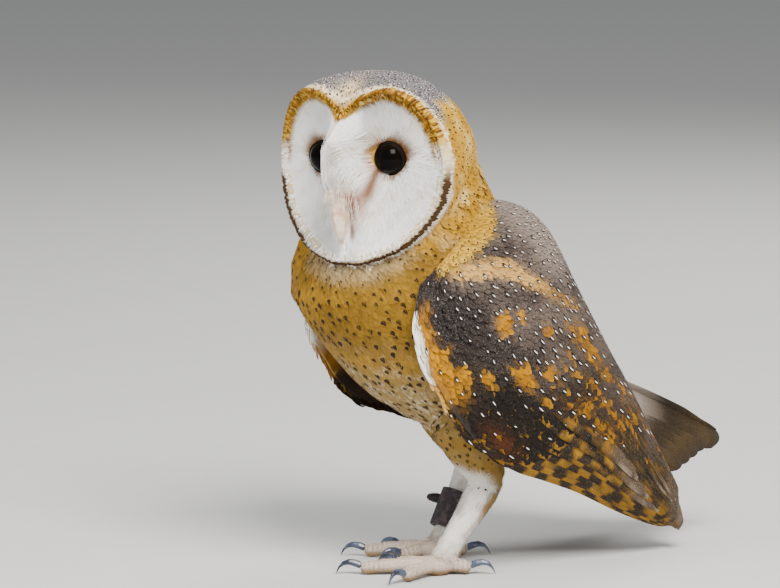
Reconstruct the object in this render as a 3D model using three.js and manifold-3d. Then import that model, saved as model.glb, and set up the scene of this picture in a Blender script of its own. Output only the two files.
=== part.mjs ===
// Barn owl standing on both feet with folded wings, its face turned to its left. Life size.
// Millimetres, +Z up. The owl's chest faces -Y and its left side is +X.
// Each part of the body is one closed faceted solid, and neighbours keep a thin gap.

import * as THREE from 'three';
import { mergeVertices } from 'three/addons/utils/BufferGeometryUtils.js';
import Module from 'manifold-3d';

const wasm = await Module();
wasm.setup();

const vec = (x, y, z) => new THREE.Vector3(x, y, z);
const rad = THREE.MathUtils.degToRad;
const lerp = THREE.MathUtils.lerp;
const smoothstep = THREE.MathUtils.smoothstep;

// ---------------------------------------------------------------- driving dimensions

const GAP = 0.3; // clearance between neighbouring parts
const TIDY = 0.07; // edges and slivers smaller than this are merged away after cutting

// Head: places inside it are (side, up, ahead) from its centre, side towards the owl's left.
const HEAD = {
  centre: vec(0, -29, 225),
  turn: rad(32), // how far the face turns from straight ahead towards the left
  roll: rad(1.9), // left eye raised
  back: 48, // centre to the rearmost feathers
  rimAhead: 25, // centre to the side edges of the facial disc
};

// Facial disc: a heart whose middle stands ahead of its side edges, with a keel down the middle.
const DISC = {
  hub: -2, // height of the middle of its polar grid
  rim: [[0, 32], [12, 38.5], [26, 41], [40, 31], [48, 12], [49, -6], [44, -24], [30, -40], [12, -48]],
  chin: -49,
  halfWidth: 49,
  bow: 21, // how far the midline stands ahead of the side edges
  dish: 11.5, // depth of the hollow on each side
  keel: 22, // height of the keel above the midline of the rim
  keelWidth: 8.5,
};

const EYE = { side: 19.3, up: 5.6, ahead: 28.6, radius: 9.2 };

// Upper bill: midline places (up, ahead) with half-width, from the bridge to the hooked tip.
const BILL = {
  up: [-9, -15, -22, -29, -35, -39],
  ahead: [51, 53, 53.4, 52.6, 51, 49.6],
  halfWidth: [3.2, 4, 4, 3.5, 2.4, 0.7],
  halfDepth: [3.5, 4.6, 4.9, 4, 2.6, 0.7],
  lowerUp: [-20, -26, -31, -34.5],
  lowerAhead: [46.5, 46.8, 47.2, 47.2],
};

// Neck and trunk: stations from inside the head to the vent. Each is an oval through a point
// on the breast side and a point on the back side, with its half-width.
const BODY = {
  breastY: [-46, -56, -65, -75, -79, -67, -51, -36, -12, 13, 43, 79, 107],
  breastZ: [230, 210, 191, 173, 152, 131, 112, 97, 83, 72, 65, 67, 74],
  backY: [17, 27, 37, 50, 60, 68, 77, 86, 95, 105, 115, 122, 125],
  backZ: [237, 218, 202, 185, 168, 153, 139, 126, 114, 106, 98, 90, 84],
  half: [42, 49, 55, 57, 56, 54.5, 53, 50, 46, 40, 31, 20, 7],
  sway: [0, -2, -6, -7, -4, -1, 0, 0, 0, 0, 0, 0, 0], // towards the right, away from the face
  neckCut: { point: vec(0, -20, 192), tilt: rad(12) }, // plane between neck and trunk
};

// Folded wings: stations along a line that falls to the rear, from the wrist to the tip.
// low and high are heights across that line of the lower edge and of the edge on the back.
const WING = {
  slope: rad(46),
  at: [-143, -132, -114, -96, -80, -55, -29, -8, 16, 46, 72, 84],
  low: [88, 68, 56, 52, 49, 50, 56, 66, 77, 88, 99, 106],
  high: [142, 158, 169, 173, 172, 167, 161, 156, 150, 140, 131, 126],
  outer: [54, 60, 63.5, 65, 65, 63.5, 61, 57, 52, 44, 37, 33],
  inner: [36, 30, 24, 17, 11, 5, 3, 3, 6, 14, 22, 26],
  thick: [5, 9, 11, 11, 11, 10, 9, 8, 6, 4, 2.6, 2],
  farSpread: 1.17, // the right wing is held this much further out
  farLift: 0.88, // toward the rear, its depth below the back is this much of the left one's
  liftFrom: 165,
  liftAlong: [-80, -25],
  tuck: rad(30), // how far the lower edge turns in under the wing
  flightCut: 4, // station line between coverts and flight feathers
};

// Flight feathers that scallop the rear of each wing: the first and last of each row.
const FLIGHT = { count: 4, width: 24, thickness: 1.4 };

// Tail: paired feathers from the middle pair to the outer pair, held like a shallow tent.
const TAIL = {
  pairs: 6,
  middleRoot: vec(0, 104, 101),
  outerRoot: vec(13, 100, 84),
  middleTip: vec(0, 190, 60),
  outerTip: vec(25, 147, 48),
  notch: 0.035, // depth of the notches between the feather ends, of their length
  thickness: 1.4,
};

// Legs: the left and the right are placed on their own, as the weight rests unevenly.
const LEGS = {
  left: {
    side: 1,
    knee: vec(26, 0, 88),
    heel: vec(22, 25, 50),
    foot: vec(22, -8, 5),
    toes: { middle: [241, 44], outer: [292, 32], inner: [211, 27], hind: [57, 20] },
  },
  right: {
    side: -1,
    knee: vec(-24, 14, 94),
    heel: vec(-22, 42, 53),
    foot: vec(-18, 15, 5),
    toes: { middle: [237, 42], outer: [207, 27], inner: [268, 25], hind: [70, 19] },
  },
};
const THIGH_RADII = [15, 15.5, 14, 11.5, 9.8];
const TARSUS_RADII = [8.8, 9.6, 8.6, 7.6, 7, 6.6];
const TOE = { radius: 3.9, height: 3.5, claw: 15, clawRadius: 2.1 };

// Leather cuff on the right leg, with a pointed tab.
const CUFF = { from: 0.42, to: 0.84, wall: 1.5, tab: 9 };

// ---------------------------------------------------------------- building blocks

// Catmull-Rom value at t (0 to 1) through evenly spaced values.
function along(values, t) {
  const place = t * (values.length - 1);
  const i = Math.min(Math.floor(place), values.length - 2);
  const f = place - i;
  const at = (k) => values[Math.max(0, Math.min(values.length - 1, k))];
  const [a, b, c, d] = [at(i - 1), at(i), at(i + 1), at(i + 2)];
  return b + 0.5 * f * (c - a + f * (2 * a - 5 * b + 4 * c - d + f * (3 * (b - c) + d - a)));
}

// A closed surface through rings of points. A ring of one point is a pole. An open end is
// closed to its own middle or, where the rings are thin strips, from edge to facing edge.
function loft(rings, { strips = false } = {}) {
  const middle = (ring) => ring.reduce((sum, p) => sum.add(p), vec(0, 0, 0)).divideScalar(ring.length);
  const closed = [...rings];
  if (!strips && rings[0].length > 1) closed.unshift([middle(rings[0])]);
  if (!strips && rings.at(-1).length > 1) closed.push([middle(rings.at(-1))]);
  const positions = [];
  const starts = [];
  for (const ring of closed) {
    starts.push(positions.length / 3);
    for (const p of ring) positions.push(p.x, p.y, p.z);
  }
  const indices = [];
  for (let i = 0; i + 1 < closed.length; i += 1) {
    const count = Math.max(closed[i].length, closed[i + 1].length);
    for (let j = 0; j < count; j += 1) {
      const next = (j + 1) % count;
      const [a, b] = closed[i].length > 1 ? [j, next] : [0, 0];
      const [c, d] = closed[i + 1].length > 1 ? [j, next] : [0, 0];
      if (a !== b) indices.push(starts[i] + a, starts[i] + b, starts[i + 1] + d);
      if (c !== d) indices.push(starts[i] + a, starts[i + 1] + d, starts[i + 1] + c);
    }
  }
  if (strips) {
    const count = rings[0].length;
    for (const [start, flip] of [[starts[0], true], [starts.at(-1), false]]) {
      for (let j = 0; j + 1 < count / 2; j += 1) {
        const [a, b, c, d] = [j, j + 1, count - 2 - j, count - 1 - j].map((k) => start + k);
        indices.push(...(flip ? [a, c, b] : [a, b, c]));
        indices.push(...(flip ? [a, d, c] : [a, c, d]));
      }
    }
  }
  const geometry = new THREE.BufferGeometry();
  geometry.setAttribute('position', new THREE.Float32BufferAttribute(positions, 3));
  geometry.setIndex(indices);
  return faceOut(geometry);
}

// Turns every triangle over if the surface encloses a negative volume.
function faceOut(geometry) {
  const position = geometry.getAttribute('position');
  const index = geometry.getIndex().array;
  const corner = (k) => vec().fromBufferAttribute(position, index[k]);
  let volume = 0;
  for (let k = 0; k < index.length; k += 3) {
    volume += corner(k).dot(corner(k + 1).cross(corner(k + 2)));
  }
  if (volume < 0) index.reverse();
  return geometry;
}

// The same surface moved outwards by a distance.
function grown(geometry, distance) {
  const copy = geometry.clone();
  copy.computeVertexNormals();
  const position = copy.getAttribute('position');
  const normal = copy.getAttribute('normal');
  for (let k = 0; k < position.count; k += 1) {
    const moved = vec().fromBufferAttribute(normal, k).multiplyScalar(distance);
    moved.add(vec().fromBufferAttribute(position, k));
    position.setXYZ(k, moved.x, moved.y, moved.z);
  }
  copy.deleteAttribute('normal');
  return copy;
}

// A solid that can be joined and cut.
function solid(geometry) {
  const vertProperties = new Float32Array(geometry.getAttribute('position').array);
  const triVerts = new Uint32Array(geometry.getIndex().array);
  return new wasm.Manifold(new wasm.Mesh({ numProp: 3, vertProperties, triVerts }));
}

const clearance = (geometry) => solid(grown(geometry, GAP));

// The largest body of a solid, without the crumbs a cut can leave.
function mainBody(shape) {
  const bodies = shape.decompose();
  return bodies.reduce((best, body) => (body.volume() > best.volume() ? body : best));
}

// An oval ring about a centre, in the plane of two unit directions.
function oval(centre, first, firstRadius, second, secondRadius, count) {
  return Array.from({ length: count }, (_, k) => {
    const angle = (2 * Math.PI * k) / count;
    return centre.clone()
      .addScaledVector(first, firstRadius * Math.cos(angle))
      .addScaledVector(second, secondRadius * Math.sin(angle));
  });
}

// A round tube along points, with its radius at even steps; flat is its height over its width.
function tube(points, radii, { rings = 8, count = 10, flat = 1 } = {}) {
  const path = new THREE.CatmullRomCurve3(points);
  const sections = [];
  for (let i = 0; i <= rings; i += 1) {
    const t = i / rings;
    const direction = path.getTangent(t);
    const across = vec(0, 0, 1).cross(direction).normalize();
    const over = direction.clone().cross(across).normalize();
    const radius = along(radii, t);
    sections.push(oval(path.getPoint(t), across, radius, over, radius * flat, count));
  }
  const lead = path.getTangent(0).multiplyScalar(-radii[0] * 0.5).add(points[0]);
  const end = path.getTangent(1).multiplyScalar(radii.at(-1) * 0.5).add(points.at(-1));
  return loft([[lead], ...sections, [end]]);
}

// A ball, stretched along the axes.
function ball(centre, radii, rings = 8, count = 14) {
  const sections = [];
  for (let i = 0; i <= rings; i += 1) {
    const angle = (Math.PI * i) / rings;
    const middle = centre.clone().add(vec(0, 0, -radii.z * Math.cos(angle)));
    const scale = Math.sin(angle);
    const pole = i === 0 || i === rings;
    const across = radii.x * scale;
    const deep = radii.y * scale;
    sections.push(pole ? [middle] : oval(middle, vec(1, 0, 0), across, vec(0, 1, 0), deep, count));
  }
  return loft(sections);
}

// The half of space on the far side of a plane, as a large block.
function halfSpace(point, normal) {
  const size = 900;
  const outward = normal.clone().normalize();
  const block = new THREE.BoxGeometry(size, size, size);
  block.applyQuaternion(new THREE.Quaternion().setFromUnitVectors(vec(0, 0, 1), outward));
  block.translate(...point.clone().addScaledVector(outward, size / 2).toArray());
  block.deleteAttribute('normal');
  block.deleteAttribute('uv');
  return solid(mergeVertices(block, 1e-3));
}

// ---------------------------------------------------------------- head

const headAxes = (() => {
  const ahead = vec(Math.sin(HEAD.turn), -Math.cos(HEAD.turn), 0);
  const level = vec(Math.cos(HEAD.turn), Math.sin(HEAD.turn), 0);
  const left = level.clone().multiplyScalar(Math.cos(HEAD.roll)).add(vec(0, 0, Math.sin(HEAD.roll)));
  const up = left.clone().cross(ahead).negate();
  return { ahead, left, up: up.z < 0 ? up.negate() : up };
})();

function inHead(side, up, ahead) {
  return HEAD.centre.clone()
    .addScaledVector(headAxes.left, side)
    .addScaledVector(headAxes.up, up)
    .addScaledVector(headAxes.ahead, ahead);
}

// How far the face stands ahead of the head's centre; t is 0 at the hub and 1 on the rim.
function faceAhead(side, up, t) {
  const bow = DISC.bow * (1 - (side / DISC.halfWidth) ** 2);
  const keelHeight = DISC.keel * smoothstep(up, -26, -1) * (1 - smoothstep(up, 12, 33));
  const keel = Math.exp(-((side / DISC.keelWidth) ** 2));
  const hollow = DISC.dish * (1 - t ** 4) * (1 - keel);
  return HEAD.rimAhead + bow - hollow + keelHeight * keel;
}

// Rim and back of the head along one spoke of the face's polar grid.
function spoke(rimPoint) {
  const toRim = new THREE.Vector2(rimPoint.x, rimPoint.y - DISC.hub);
  const reach = toRim.length();
  const direction = toRim.clone().normalize();
  const rise = direction.y;
  const shoulder = rise > 0 ? lerp(58.5, 66, rise ** 6) : lerp(58.5, 51, -rise);
  const rimAhead = faceAhead(rimPoint.x, rimPoint.y, 1);
  const profile = new THREE.CubicBezierCurve(
    new THREE.Vector2(rimAhead, reach),
    new THREE.Vector2(rimAhead - 16, shoulder),
    new THREE.Vector2(-HEAD.back - 2, 51),
    new THREE.Vector2(-HEAD.back, 0),
  );
  return { direction, reach, profile };
}

const spokes = (() => {
  const right = DISC.rim.slice(1).reverse().map(([side, up]) => vec(-side, up, 0));
  const left = DISC.rim.map(([side, up]) => vec(side, up, 0));
  const rim = new THREE.CatmullRomCurve3([...left, vec(0, DISC.chin, 0), ...right], true);
  const count = 32;
  return Array.from({ length: count }, (_, k) => spoke(rim.getPoint(k / count)));
})();

// The facial disc from its hub to its rim.
function faceRings() {
  const rings = [[inHead(0, DISC.hub, faceAhead(0, DISC.hub, 0))]];
  for (const t of [0.14, 0.3, 0.47, 0.66, 0.85, 1]) {
    rings.push(spokes.map(({ direction, reach }) => {
      const side = direction.x * reach * t;
      const up = DISC.hub + direction.y * reach * t;
      return inHead(side, up, faceAhead(side, up, t));
    }));
  }
  return rings;
}

// The air in front of the face, which the neck and breast keep clear of.
function faceAir() {
  const rings = faceRings();
  const forward = (p) => p.clone().addScaledVector(headAxes.ahead, 90);
  return loft([...rings, rings.at(-1).map(forward)]);
}

function headGeometry() {
  const rings = faceRings();
  for (const w of [0.12, 0.28, 0.46, 0.66, 0.85]) {
    rings.push(spokes.map(({ direction, profile }) => {
      const place = profile.getPoint(w);
      const hub = lerp(DISC.hub, 2, w);
      return inHead(direction.x * place.y, hub + direction.y * place.y, place.x);
    }));
  }
  rings.push([inHead(0, 2, -HEAD.back)]);
  return loft(rings);
}

function eyeGeometry(side) {
  return ball(inHead(side * EYE.side, EYE.up, EYE.ahead), vec(1, 1, 1).multiplyScalar(EYE.radius), 7, 12);
}

// A bill half, as ovals on the midline of the face.
function billGeometry(ups, aheads, halfWidths, halfDepths) {
  const rings = [];
  const steps = 6;
  for (let i = 0; i <= steps; i += 1) {
    const t = i / steps;
    const centre = inHead(0, along(ups, t), along(aheads, t));
    rings.push(oval(centre, headAxes.left, along(halfWidths, t), headAxes.ahead, along(halfDepths, t), 8));
  }
  return loft(rings);
}

// ---------------------------------------------------------------- neck and trunk

function bodyGeometry() {
  const rings = [];
  const steps = 15;
  for (let i = 0; i <= steps; i += 1) {
    const t = i / steps;
    const sway = along(BODY.sway, t);
    const breast = vec(sway, along(BODY.breastY, t), along(BODY.breastZ, t));
    const back = vec(sway, along(BODY.backY, t), along(BODY.backZ, t));
    const across = back.clone().sub(breast);
    const centre = breast.clone().add(back).multiplyScalar(0.5);
    const depth = across.length() / 2;
    rings.push(oval(centre, vec(1, 0, 0), along(BODY.half, t), across.normalize(), depth, 22));
  }
  return loft(rings);
}

// ---------------------------------------------------------------- wings and tail

// Directions along the falling line of the wings and square to it.
const wingAlong = vec(0, Math.cos(WING.slope), -Math.sin(WING.slope));
const wingOver = vec(0, Math.sin(WING.slope), Math.cos(WING.slope));

// A point of the left wing: t along its stations, v from its lower edge (0) to the back (1).
function wingPoint(t, v, depth = 0) {
  const [low, high] = [along(WING.low, t), along(WING.high, t)];
  const [inner, outer] = [along(WING.inner, t), along(WING.outer, t)];
  const waist = lerp(low, high, 0.42);
  const angle = lerp(-WING.tuck, Math.PI / 2, v);
  const rise = angle > 0 ? high - waist : (waist - low) / Math.sin(WING.tuck);
  const reach = outer - inner;
  const normal = new THREE.Vector2(Math.cos(angle) / reach, Math.sin(angle) / rise).normalize();
  const x = inner + reach * Math.cos(angle) - normal.x * depth;
  const over = waist + rise * Math.sin(angle) - normal.y * depth;
  return vec(x, 0, 0)
    .addScaledVector(wingAlong, along(WING.at, t))
    .addScaledVector(wingOver, over);
}

const wingDepth = (t, v) => 0.9 + along(WING.thick, t) * Math.sqrt(Math.max(0, 4 * v * (1 - v)));

// The folded wing as a curved shell with thin edges.
function wingShell() {
  const rings = [];
  const steps = 15;
  const across = 8;
  for (let i = 0; i <= steps; i += 1) {
    const t = i / steps;
    const outside = Array.from({ length: across + 1 }, (_, k) => wingPoint(t, k / across));
    const inside = Array.from({ length: across + 1 }, (_, k) => {
      const v = 1 - k / across;
      return wingPoint(t, v, wingDepth(t, v));
    });
    rings.push([...outside, ...inside]);
  }
  return loft(rings, { strips: true });
}

// The right wing's surface from the left one's, held further out and lifted toward the rear.
function mirrored(geometry) {
  const copy = geometry.clone();
  const position = copy.getAttribute('position');
  const point = new THREE.Vector3();
  for (let i = 0; i < position.count; i += 1) {
    point.fromBufferAttribute(position, i);
    const share = (1 - WING.farLift) * smoothstep(point.dot(wingAlong), ...WING.liftAlong);
    const raise = (WING.liftFrom - point.dot(wingOver)) * share;
    point.addScaledVector(wingOver, raise);
    position.setXYZ(i, -point.x * WING.farSpread, point.y, point.z);
  }
  return faceOut(copy);
}

// A thin feather from root to tip, square to a normal, with a rounded end.
function feather(root, tip, width, thickness, normal) {
  const axis = tip.clone().sub(root);
  const across = axis.clone().normalize().cross(normal).normalize();
  const face = across.clone().cross(axis).normalize();
  const rings = [];
  const steps = [0, 0.6, 0.88, 0.97];
  for (const t of steps) {
    const half = (width / 2) * Math.sqrt(1 - t ** 5) * lerp(0.7, 1, smoothstep(t, 0, 0.4));
    const centre = root.clone().addScaledVector(axis, t);
    rings.push(oval(centre, across, half, face, thickness / 2, 4));
  }
  return loft([...rings, [tip]]);
}

// Feathers whose tips stand out past the rear edge of the left wing, fanned over its shell.
// room makes each a little larger all round, for the space that others leave it.
function flightFeathers(room = 0) {
  const feathers = [];
  for (let i = 0; i < FLIGHT.count; i += 1) {
    const f = i / (FLIGHT.count - 1);
    const tipT = lerp(0.985, 0.8, f ** 1.4);
    const v = lerp(0.3, 0.93, f);
    const tip = wingPoint(tipT, v, 1.6 + 0.5 * (i % 2)).addScaledVector(wingAlong, 5 + room);
    const root = wingPoint(tipT - 0.24, lerp(0.3, 0.8, f), 2.5);
    const normal = wingPoint(tipT - 0.1, v).sub(wingPoint(tipT - 0.1, v, 5));
    feathers.push(feather(root, tip, FLIGHT.width + 3 * room, FLIGHT.thickness + 3 * room, normal));
  }
  return feathers;
}

// The tented tail as one thin sheet, laid out from its right edge to its left edge, with a
// rounded end to each feather, over a short thick root of coverts.
function tailSolid() {
  const rings = [];
  const steps = TAIL.pairs * 4;
  for (let i = 0; i <= steps; i += 1) {
    const across = (2 * i) / steps - 1;
    const f = Math.abs(across);
    const root = TAIL.middleRoot.clone().lerp(TAIL.outerRoot, f);
    const tip = TAIL.middleTip.clone().lerp(TAIL.outerTip, f ** 1.15);
    const notch = i % 2 === 0 ? 1 - TAIL.notch : 1;
    tip.lerpVectors(root, tip, notch);
    const middle = root.clone().lerp(tip, 0.5).add(vec(0, 0, 1));
    const strip = [root, middle, tip];
    const under = vec(-1.2 * f, 0, -1).multiplyScalar(TAIL.thickness);
    const ring = [...strip, ...strip.map((p) => p.clone().add(under)).reverse()];
    if (across < 0) ring.forEach((p) => p.setX(-p.x));
    rings.push(ring);
  }
  const coverts = tube(
    [vec(0, 96, 101), vec(0, 118, 89), vec(0, 142, 76)],
    [16, 16, 11, 5],
    { rings: 3, count: 8, flat: 0.62 },
  );
  return solid(loft(rings, { strips: true })).add(solid(coverts));
}

// ---------------------------------------------------------------- legs and feet

function thighGeometry({ knee, heel }) {
  const middle = knee.clone().lerp(heel, 0.55).add(vec(0, 2, -3));
  return tube([knee, middle, heel], THIGH_RADII, { rings: 6, count: 12 });
}

function tarsusGeometry({ heel, foot }) {
  const top = heel.clone().add(vec(0, 0.5, 1));
  const bottom = foot.clone().add(vec(0, 2, 3));
  const middle = top.clone().lerp(bottom, 0.5).add(vec(0, 1.2, 0.8));
  return tube([top, middle, bottom], TARSUS_RADII, { rings: 5, count: 10 });
}

const padGeometry = ({ foot }) => ball(foot.clone().setZ(5.2), vec(8.6, 9.8, 6.2), 6, 10);

function toeDirection(degrees) {
  return vec(Math.cos(rad(degrees)), Math.sin(rad(degrees)), 0);
}

// A toe arched from the pad to the base of its claw, deepest under the claw.
function toeGeometry(foot, degrees, length) {
  const out = toeDirection(degrees);
  const at = (reach, z) => foot.clone().addScaledVector(out, reach).setZ(z);
  const points = [at(4, 5.4), at(length * 0.45, 5.3), at(length * 0.75, 4.4), at(length - 3, TOE.height)];
  const radii = [0.98, 1.06, 0.94, 1.04, 0.94, 1.04, 0.9].map((k) => k * TOE.radius);
  return tube(points, radii, { rings: 6, count: 7 });
}

// A claw that rises a little from the toe's end and curves down to a point.
function clawGeometry(foot, degrees, length) {
  const out = toeDirection(degrees);
  const at = (reach, z) => foot.clone().addScaledVector(out, length + reach).setZ(z);
  const reach = TOE.claw;
  const points = [at(-2.5, 4.9), at(reach * 0.24, 7), at(reach * 0.56, 5.7), at(reach * 0.76, 0.9)];
  return tube(points, [1, 1, 0.84, 0.6, 0.34, 0.13].map((k) => k * TOE.clawRadius), { rings: 5, count: 6 });
}

function cuffSolid(leg, tarsus) {
  const top = leg.heel.clone();
  const bottom = leg.foot.clone().add(vec(0, 2, 3));
  const place = (t) => top.clone().lerp(bottom, t);
  const radius = TARSUS_RADII[3] + CUFF.wall + 1;
  const sleeve = tube(
    [place(CUFF.from), place((CUFF.from + CUFF.to) / 2), place(CUFF.to)],
    [radius + 0.4, radius, radius - 0.4],
    { rings: 2, count: 12 },
  );
  const ends = solid(sleeve)
    .subtract(halfSpace(place(CUFF.from), top.clone().sub(bottom)))
    .subtract(halfSpace(place(CUFF.to), bottom.clone().sub(top)));
  const start = place(CUFF.from + 0.08).add(vec(-radius * 0.6, -radius * 0.6, 0));
  const tip = start.clone().add(vec(-CUFF.tab * 0.5, -CUFF.tab * 0.86, 2));
  const tab = solid(feather(start.clone().add(vec(2, 3, 0)), tip, 7, 1.4, vec(0.8, -0.5, 0.4)));
  return ends.add(tab).subtract(clearance(tarsus));
}

// ---------------------------------------------------------------- materials and assembly

const colours = {
  cream: 0xe9dcbc,
  gold: 0xc79a4a,
  buff: 0xd2b078,
  slate: 0x5d5150,
  barred: 0x6a4a1c,
  white: 0xe6e2de,
  skin: 0xdccdc2,
  claw: 0x5f6f85,
  bill: 0xdcc7b6,
  black: 0x120d0b,
  leather: 0x2c2529,
};

const group = new THREE.Group();

function addPart(name, shape, colour, roughness = 0.8) {
  const mesh = mainBody(shape.simplify(TIDY)).getMesh();
  const geometry = new THREE.BufferGeometry();
  geometry.setAttribute('position', new THREE.Float32BufferAttribute(mesh.vertProperties, 3));
  geometry.setIndex(Array.from(mesh.triVerts));
  const part = new THREE.Mesh(geometry, new THREE.MeshStandardMaterial({ color: colour, roughness }));
  part.name = name;
  group.add(part);
}

const floor = halfSpace(vec(0, 0, 0), vec(0, 0, -1));

const headShape = headGeometry();
const bodyShape = bodyGeometry();
const eyes = { left: eyeGeometry(1), right: eyeGeometry(-1) };
const upperBill = billGeometry(BILL.up, BILL.ahead, BILL.halfWidth, BILL.halfDepth);
const lowerBill = billGeometry(BILL.lowerUp, BILL.lowerAhead, [3.2, 3, 2.2, 0.8], [2.6, 2.4, 1.6, 0.6]);

const lowerBillSolid = solid(lowerBill).subtract(clearance(upperBill));
addPart('head', solid(headShape)
  .subtract(clearance(eyes.left))
  .subtract(clearance(eyes.right))
  .subtract(clearance(upperBill))
  .subtract(clearance(lowerBill)), colours.cream);
addPart('bill_upper', solid(upperBill), colours.bill, 0.4);
addPart('bill_lower', lowerBillSolid, colours.bill, 0.4);

const { point: cutPoint, tilt: cutTilt } = BODY.neckCut;
const cutNormal = vec(0, -Math.sin(cutTilt), Math.cos(cutTilt));
const aboveCut = halfSpace(cutPoint.clone().addScaledVector(cutNormal, GAP / 2), cutNormal);
const belowCut = halfSpace(cutPoint.clone().addScaledVector(cutNormal, -GAP / 2), cutNormal.clone().negate());
const bodyAroundHead = solid(bodyShape).subtract(clearance(headShape)).subtract(solid(faceAir()));
addPart('neck', bodyAroundHead.intersect(aboveCut), colours.gold);

const leftShell = wingShell();
const wings = {
  left: { shell: leftShell, feathers: flightFeathers(), room: flightFeathers(2 * GAP) },
  right: {
    shell: mirrored(leftShell),
    feathers: flightFeathers().map((one) => mirrored(one)),
    room: flightFeathers(2 * GAP).map((one) => mirrored(one)),
  },
};
const headAndBody = clearance(bodyShape).add(clearance(headShape));
const flightLine = wingAlong.clone().multiplyScalar(WING.flightCut);
const flightNormal = wingAlong.clone().addScaledVector(wingOver, 0.35).normalize();
const flightPoint = flightLine.clone().addScaledVector(wingOver, 110);
const towardFront = flightNormal.clone().negate();
const toRear = halfSpace(flightPoint.clone().addScaledVector(flightNormal, GAP / 2), flightNormal);
const toFront = halfSpace(flightPoint.clone().addScaledVector(flightNormal, -GAP / 2), towardFront);

const legShapes = {};
for (const [name, leg] of Object.entries(LEGS)) {
  legShapes[name] = { thigh: thighGeometry(leg), tarsus: tarsusGeometry(leg), pad: padGeometry(leg) };
}

const wingClearance = {};
for (const [name, wing] of Object.entries(wings)) {
  const feathers = wing.feathers.map(solid);
  const whole = feathers.reduce((sum, one) => sum.add(one), solid(wing.shell)).subtract(headAndBody);
  addPart(`${name}_wing`, whole.intersect(toFront), colours.slate);
  addPart(`${name}_flight_feathers`, whole.intersect(toRear), colours.barred);
  wingClearance[name] = wing.room.map(solid).reduce((sum, one) => sum.add(one), clearance(wing.shell));
}

addPart('trunk', bodyAroundHead.intersect(belowCut), colours.buff);

addPart('tail', tailSolid()
  .subtract(headAndBody)
  .subtract(wingClearance.left)
  .subtract(wingClearance.right), colours.slate);

for (const [name, leg] of Object.entries(LEGS)) {
  const { thigh, tarsus, pad } = legShapes[name];
  addPart(`${name}_thigh`, solid(thigh).subtract(headAndBody).subtract(wingClearance[name]), colours.buff);
  const aroundLeg = clearance(thigh).add(clearance(pad));
  addPart(`${name}_tarsus`, solid(tarsus).subtract(aroundLeg), colours.white);
  addPart(`${name}_foot`, solid(pad).subtract(floor), colours.skin);
  const earlier = [];
  for (const [toeName, [degrees, length]] of Object.entries(leg.toes)) {
    const toe = toeGeometry(leg.foot, degrees, length);
    const claw = clawGeometry(leg.foot, degrees, length);
    const joined = clearance(pad).add(clearance(tarsus));
    const cleared = earlier.reduce((shape, other) => shape.subtract(other), solid(toe).subtract(joined));
    addPart(`${name}_toe_${toeName}`, cleared.subtract(floor), colours.skin);
    const bareClaw = solid(claw).subtract(clearance(toe)).subtract(floor);
    addPart(`${name}_claw_${toeName}`, bareClaw, colours.claw, 0.35);
    earlier.push(clearance(toe));
  }
  addPart(`${name}_eye`, solid(eyes[name]), colours.black, 0.1);
}

addPart('right_anklet', cuffSolid(LEGS.right, legShapes.right.tarsus), colours.leather, 0.7);

// The origin is under the middle of the whole owl, on the floor.
const extent = new THREE.Box3().setFromObject(group);
const middle = extent.getCenter(vec());
for (const part of group.children) part.geometry.translate(-middle.x, -middle.y, -extent.min.z);

export default group;
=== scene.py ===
"""Barn owl figure: skin, plumage, eyes, bill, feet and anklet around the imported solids.

Lengths inside the classes are millimetres in the owl's own frame: its chest faces -Y, its left
side is +X and the floor is Z = 0. Place.to_row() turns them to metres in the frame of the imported
solids, and every mesh is made there.
"""

import logging
import math
from dataclasses import dataclass, field
from enum import Enum

import bpy
import numpy as np
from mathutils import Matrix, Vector
from mathutils.bvhtree import BVHTree
from mathutils.kdtree import KDTree


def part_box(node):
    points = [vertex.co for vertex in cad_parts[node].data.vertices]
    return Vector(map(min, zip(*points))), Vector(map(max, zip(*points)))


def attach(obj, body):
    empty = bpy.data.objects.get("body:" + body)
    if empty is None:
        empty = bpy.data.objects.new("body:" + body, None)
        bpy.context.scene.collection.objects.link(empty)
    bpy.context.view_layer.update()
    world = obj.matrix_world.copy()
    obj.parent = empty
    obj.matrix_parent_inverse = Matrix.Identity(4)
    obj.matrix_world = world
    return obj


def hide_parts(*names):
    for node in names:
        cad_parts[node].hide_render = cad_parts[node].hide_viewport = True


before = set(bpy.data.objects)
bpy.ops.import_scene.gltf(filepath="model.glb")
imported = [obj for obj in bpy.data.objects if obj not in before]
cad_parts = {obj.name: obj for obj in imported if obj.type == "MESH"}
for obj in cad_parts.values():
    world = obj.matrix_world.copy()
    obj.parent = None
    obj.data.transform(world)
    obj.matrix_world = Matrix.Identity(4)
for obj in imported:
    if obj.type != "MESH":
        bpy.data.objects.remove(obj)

MM = 0.001
SIDES = {"left": 1.0, "right": -1.0}
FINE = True
LOG = logging.getLogger("owl")


class Mark(Enum):
    """Marks a feather can carry near its tip, by channel of the marks attribute."""

    SPOT = 0
    DROP = 1
    PEPPER = 2


def srgb(red: float, green: float, blue: float) -> np.ndarray:
    """Linear colour from 8-bit display values."""
    value = np.array([red, green, blue], float) / 255.0
    return np.where(value <= 0.04045, value / 12.92, ((value + 0.055) / 1.055) ** 2.4)


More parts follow.
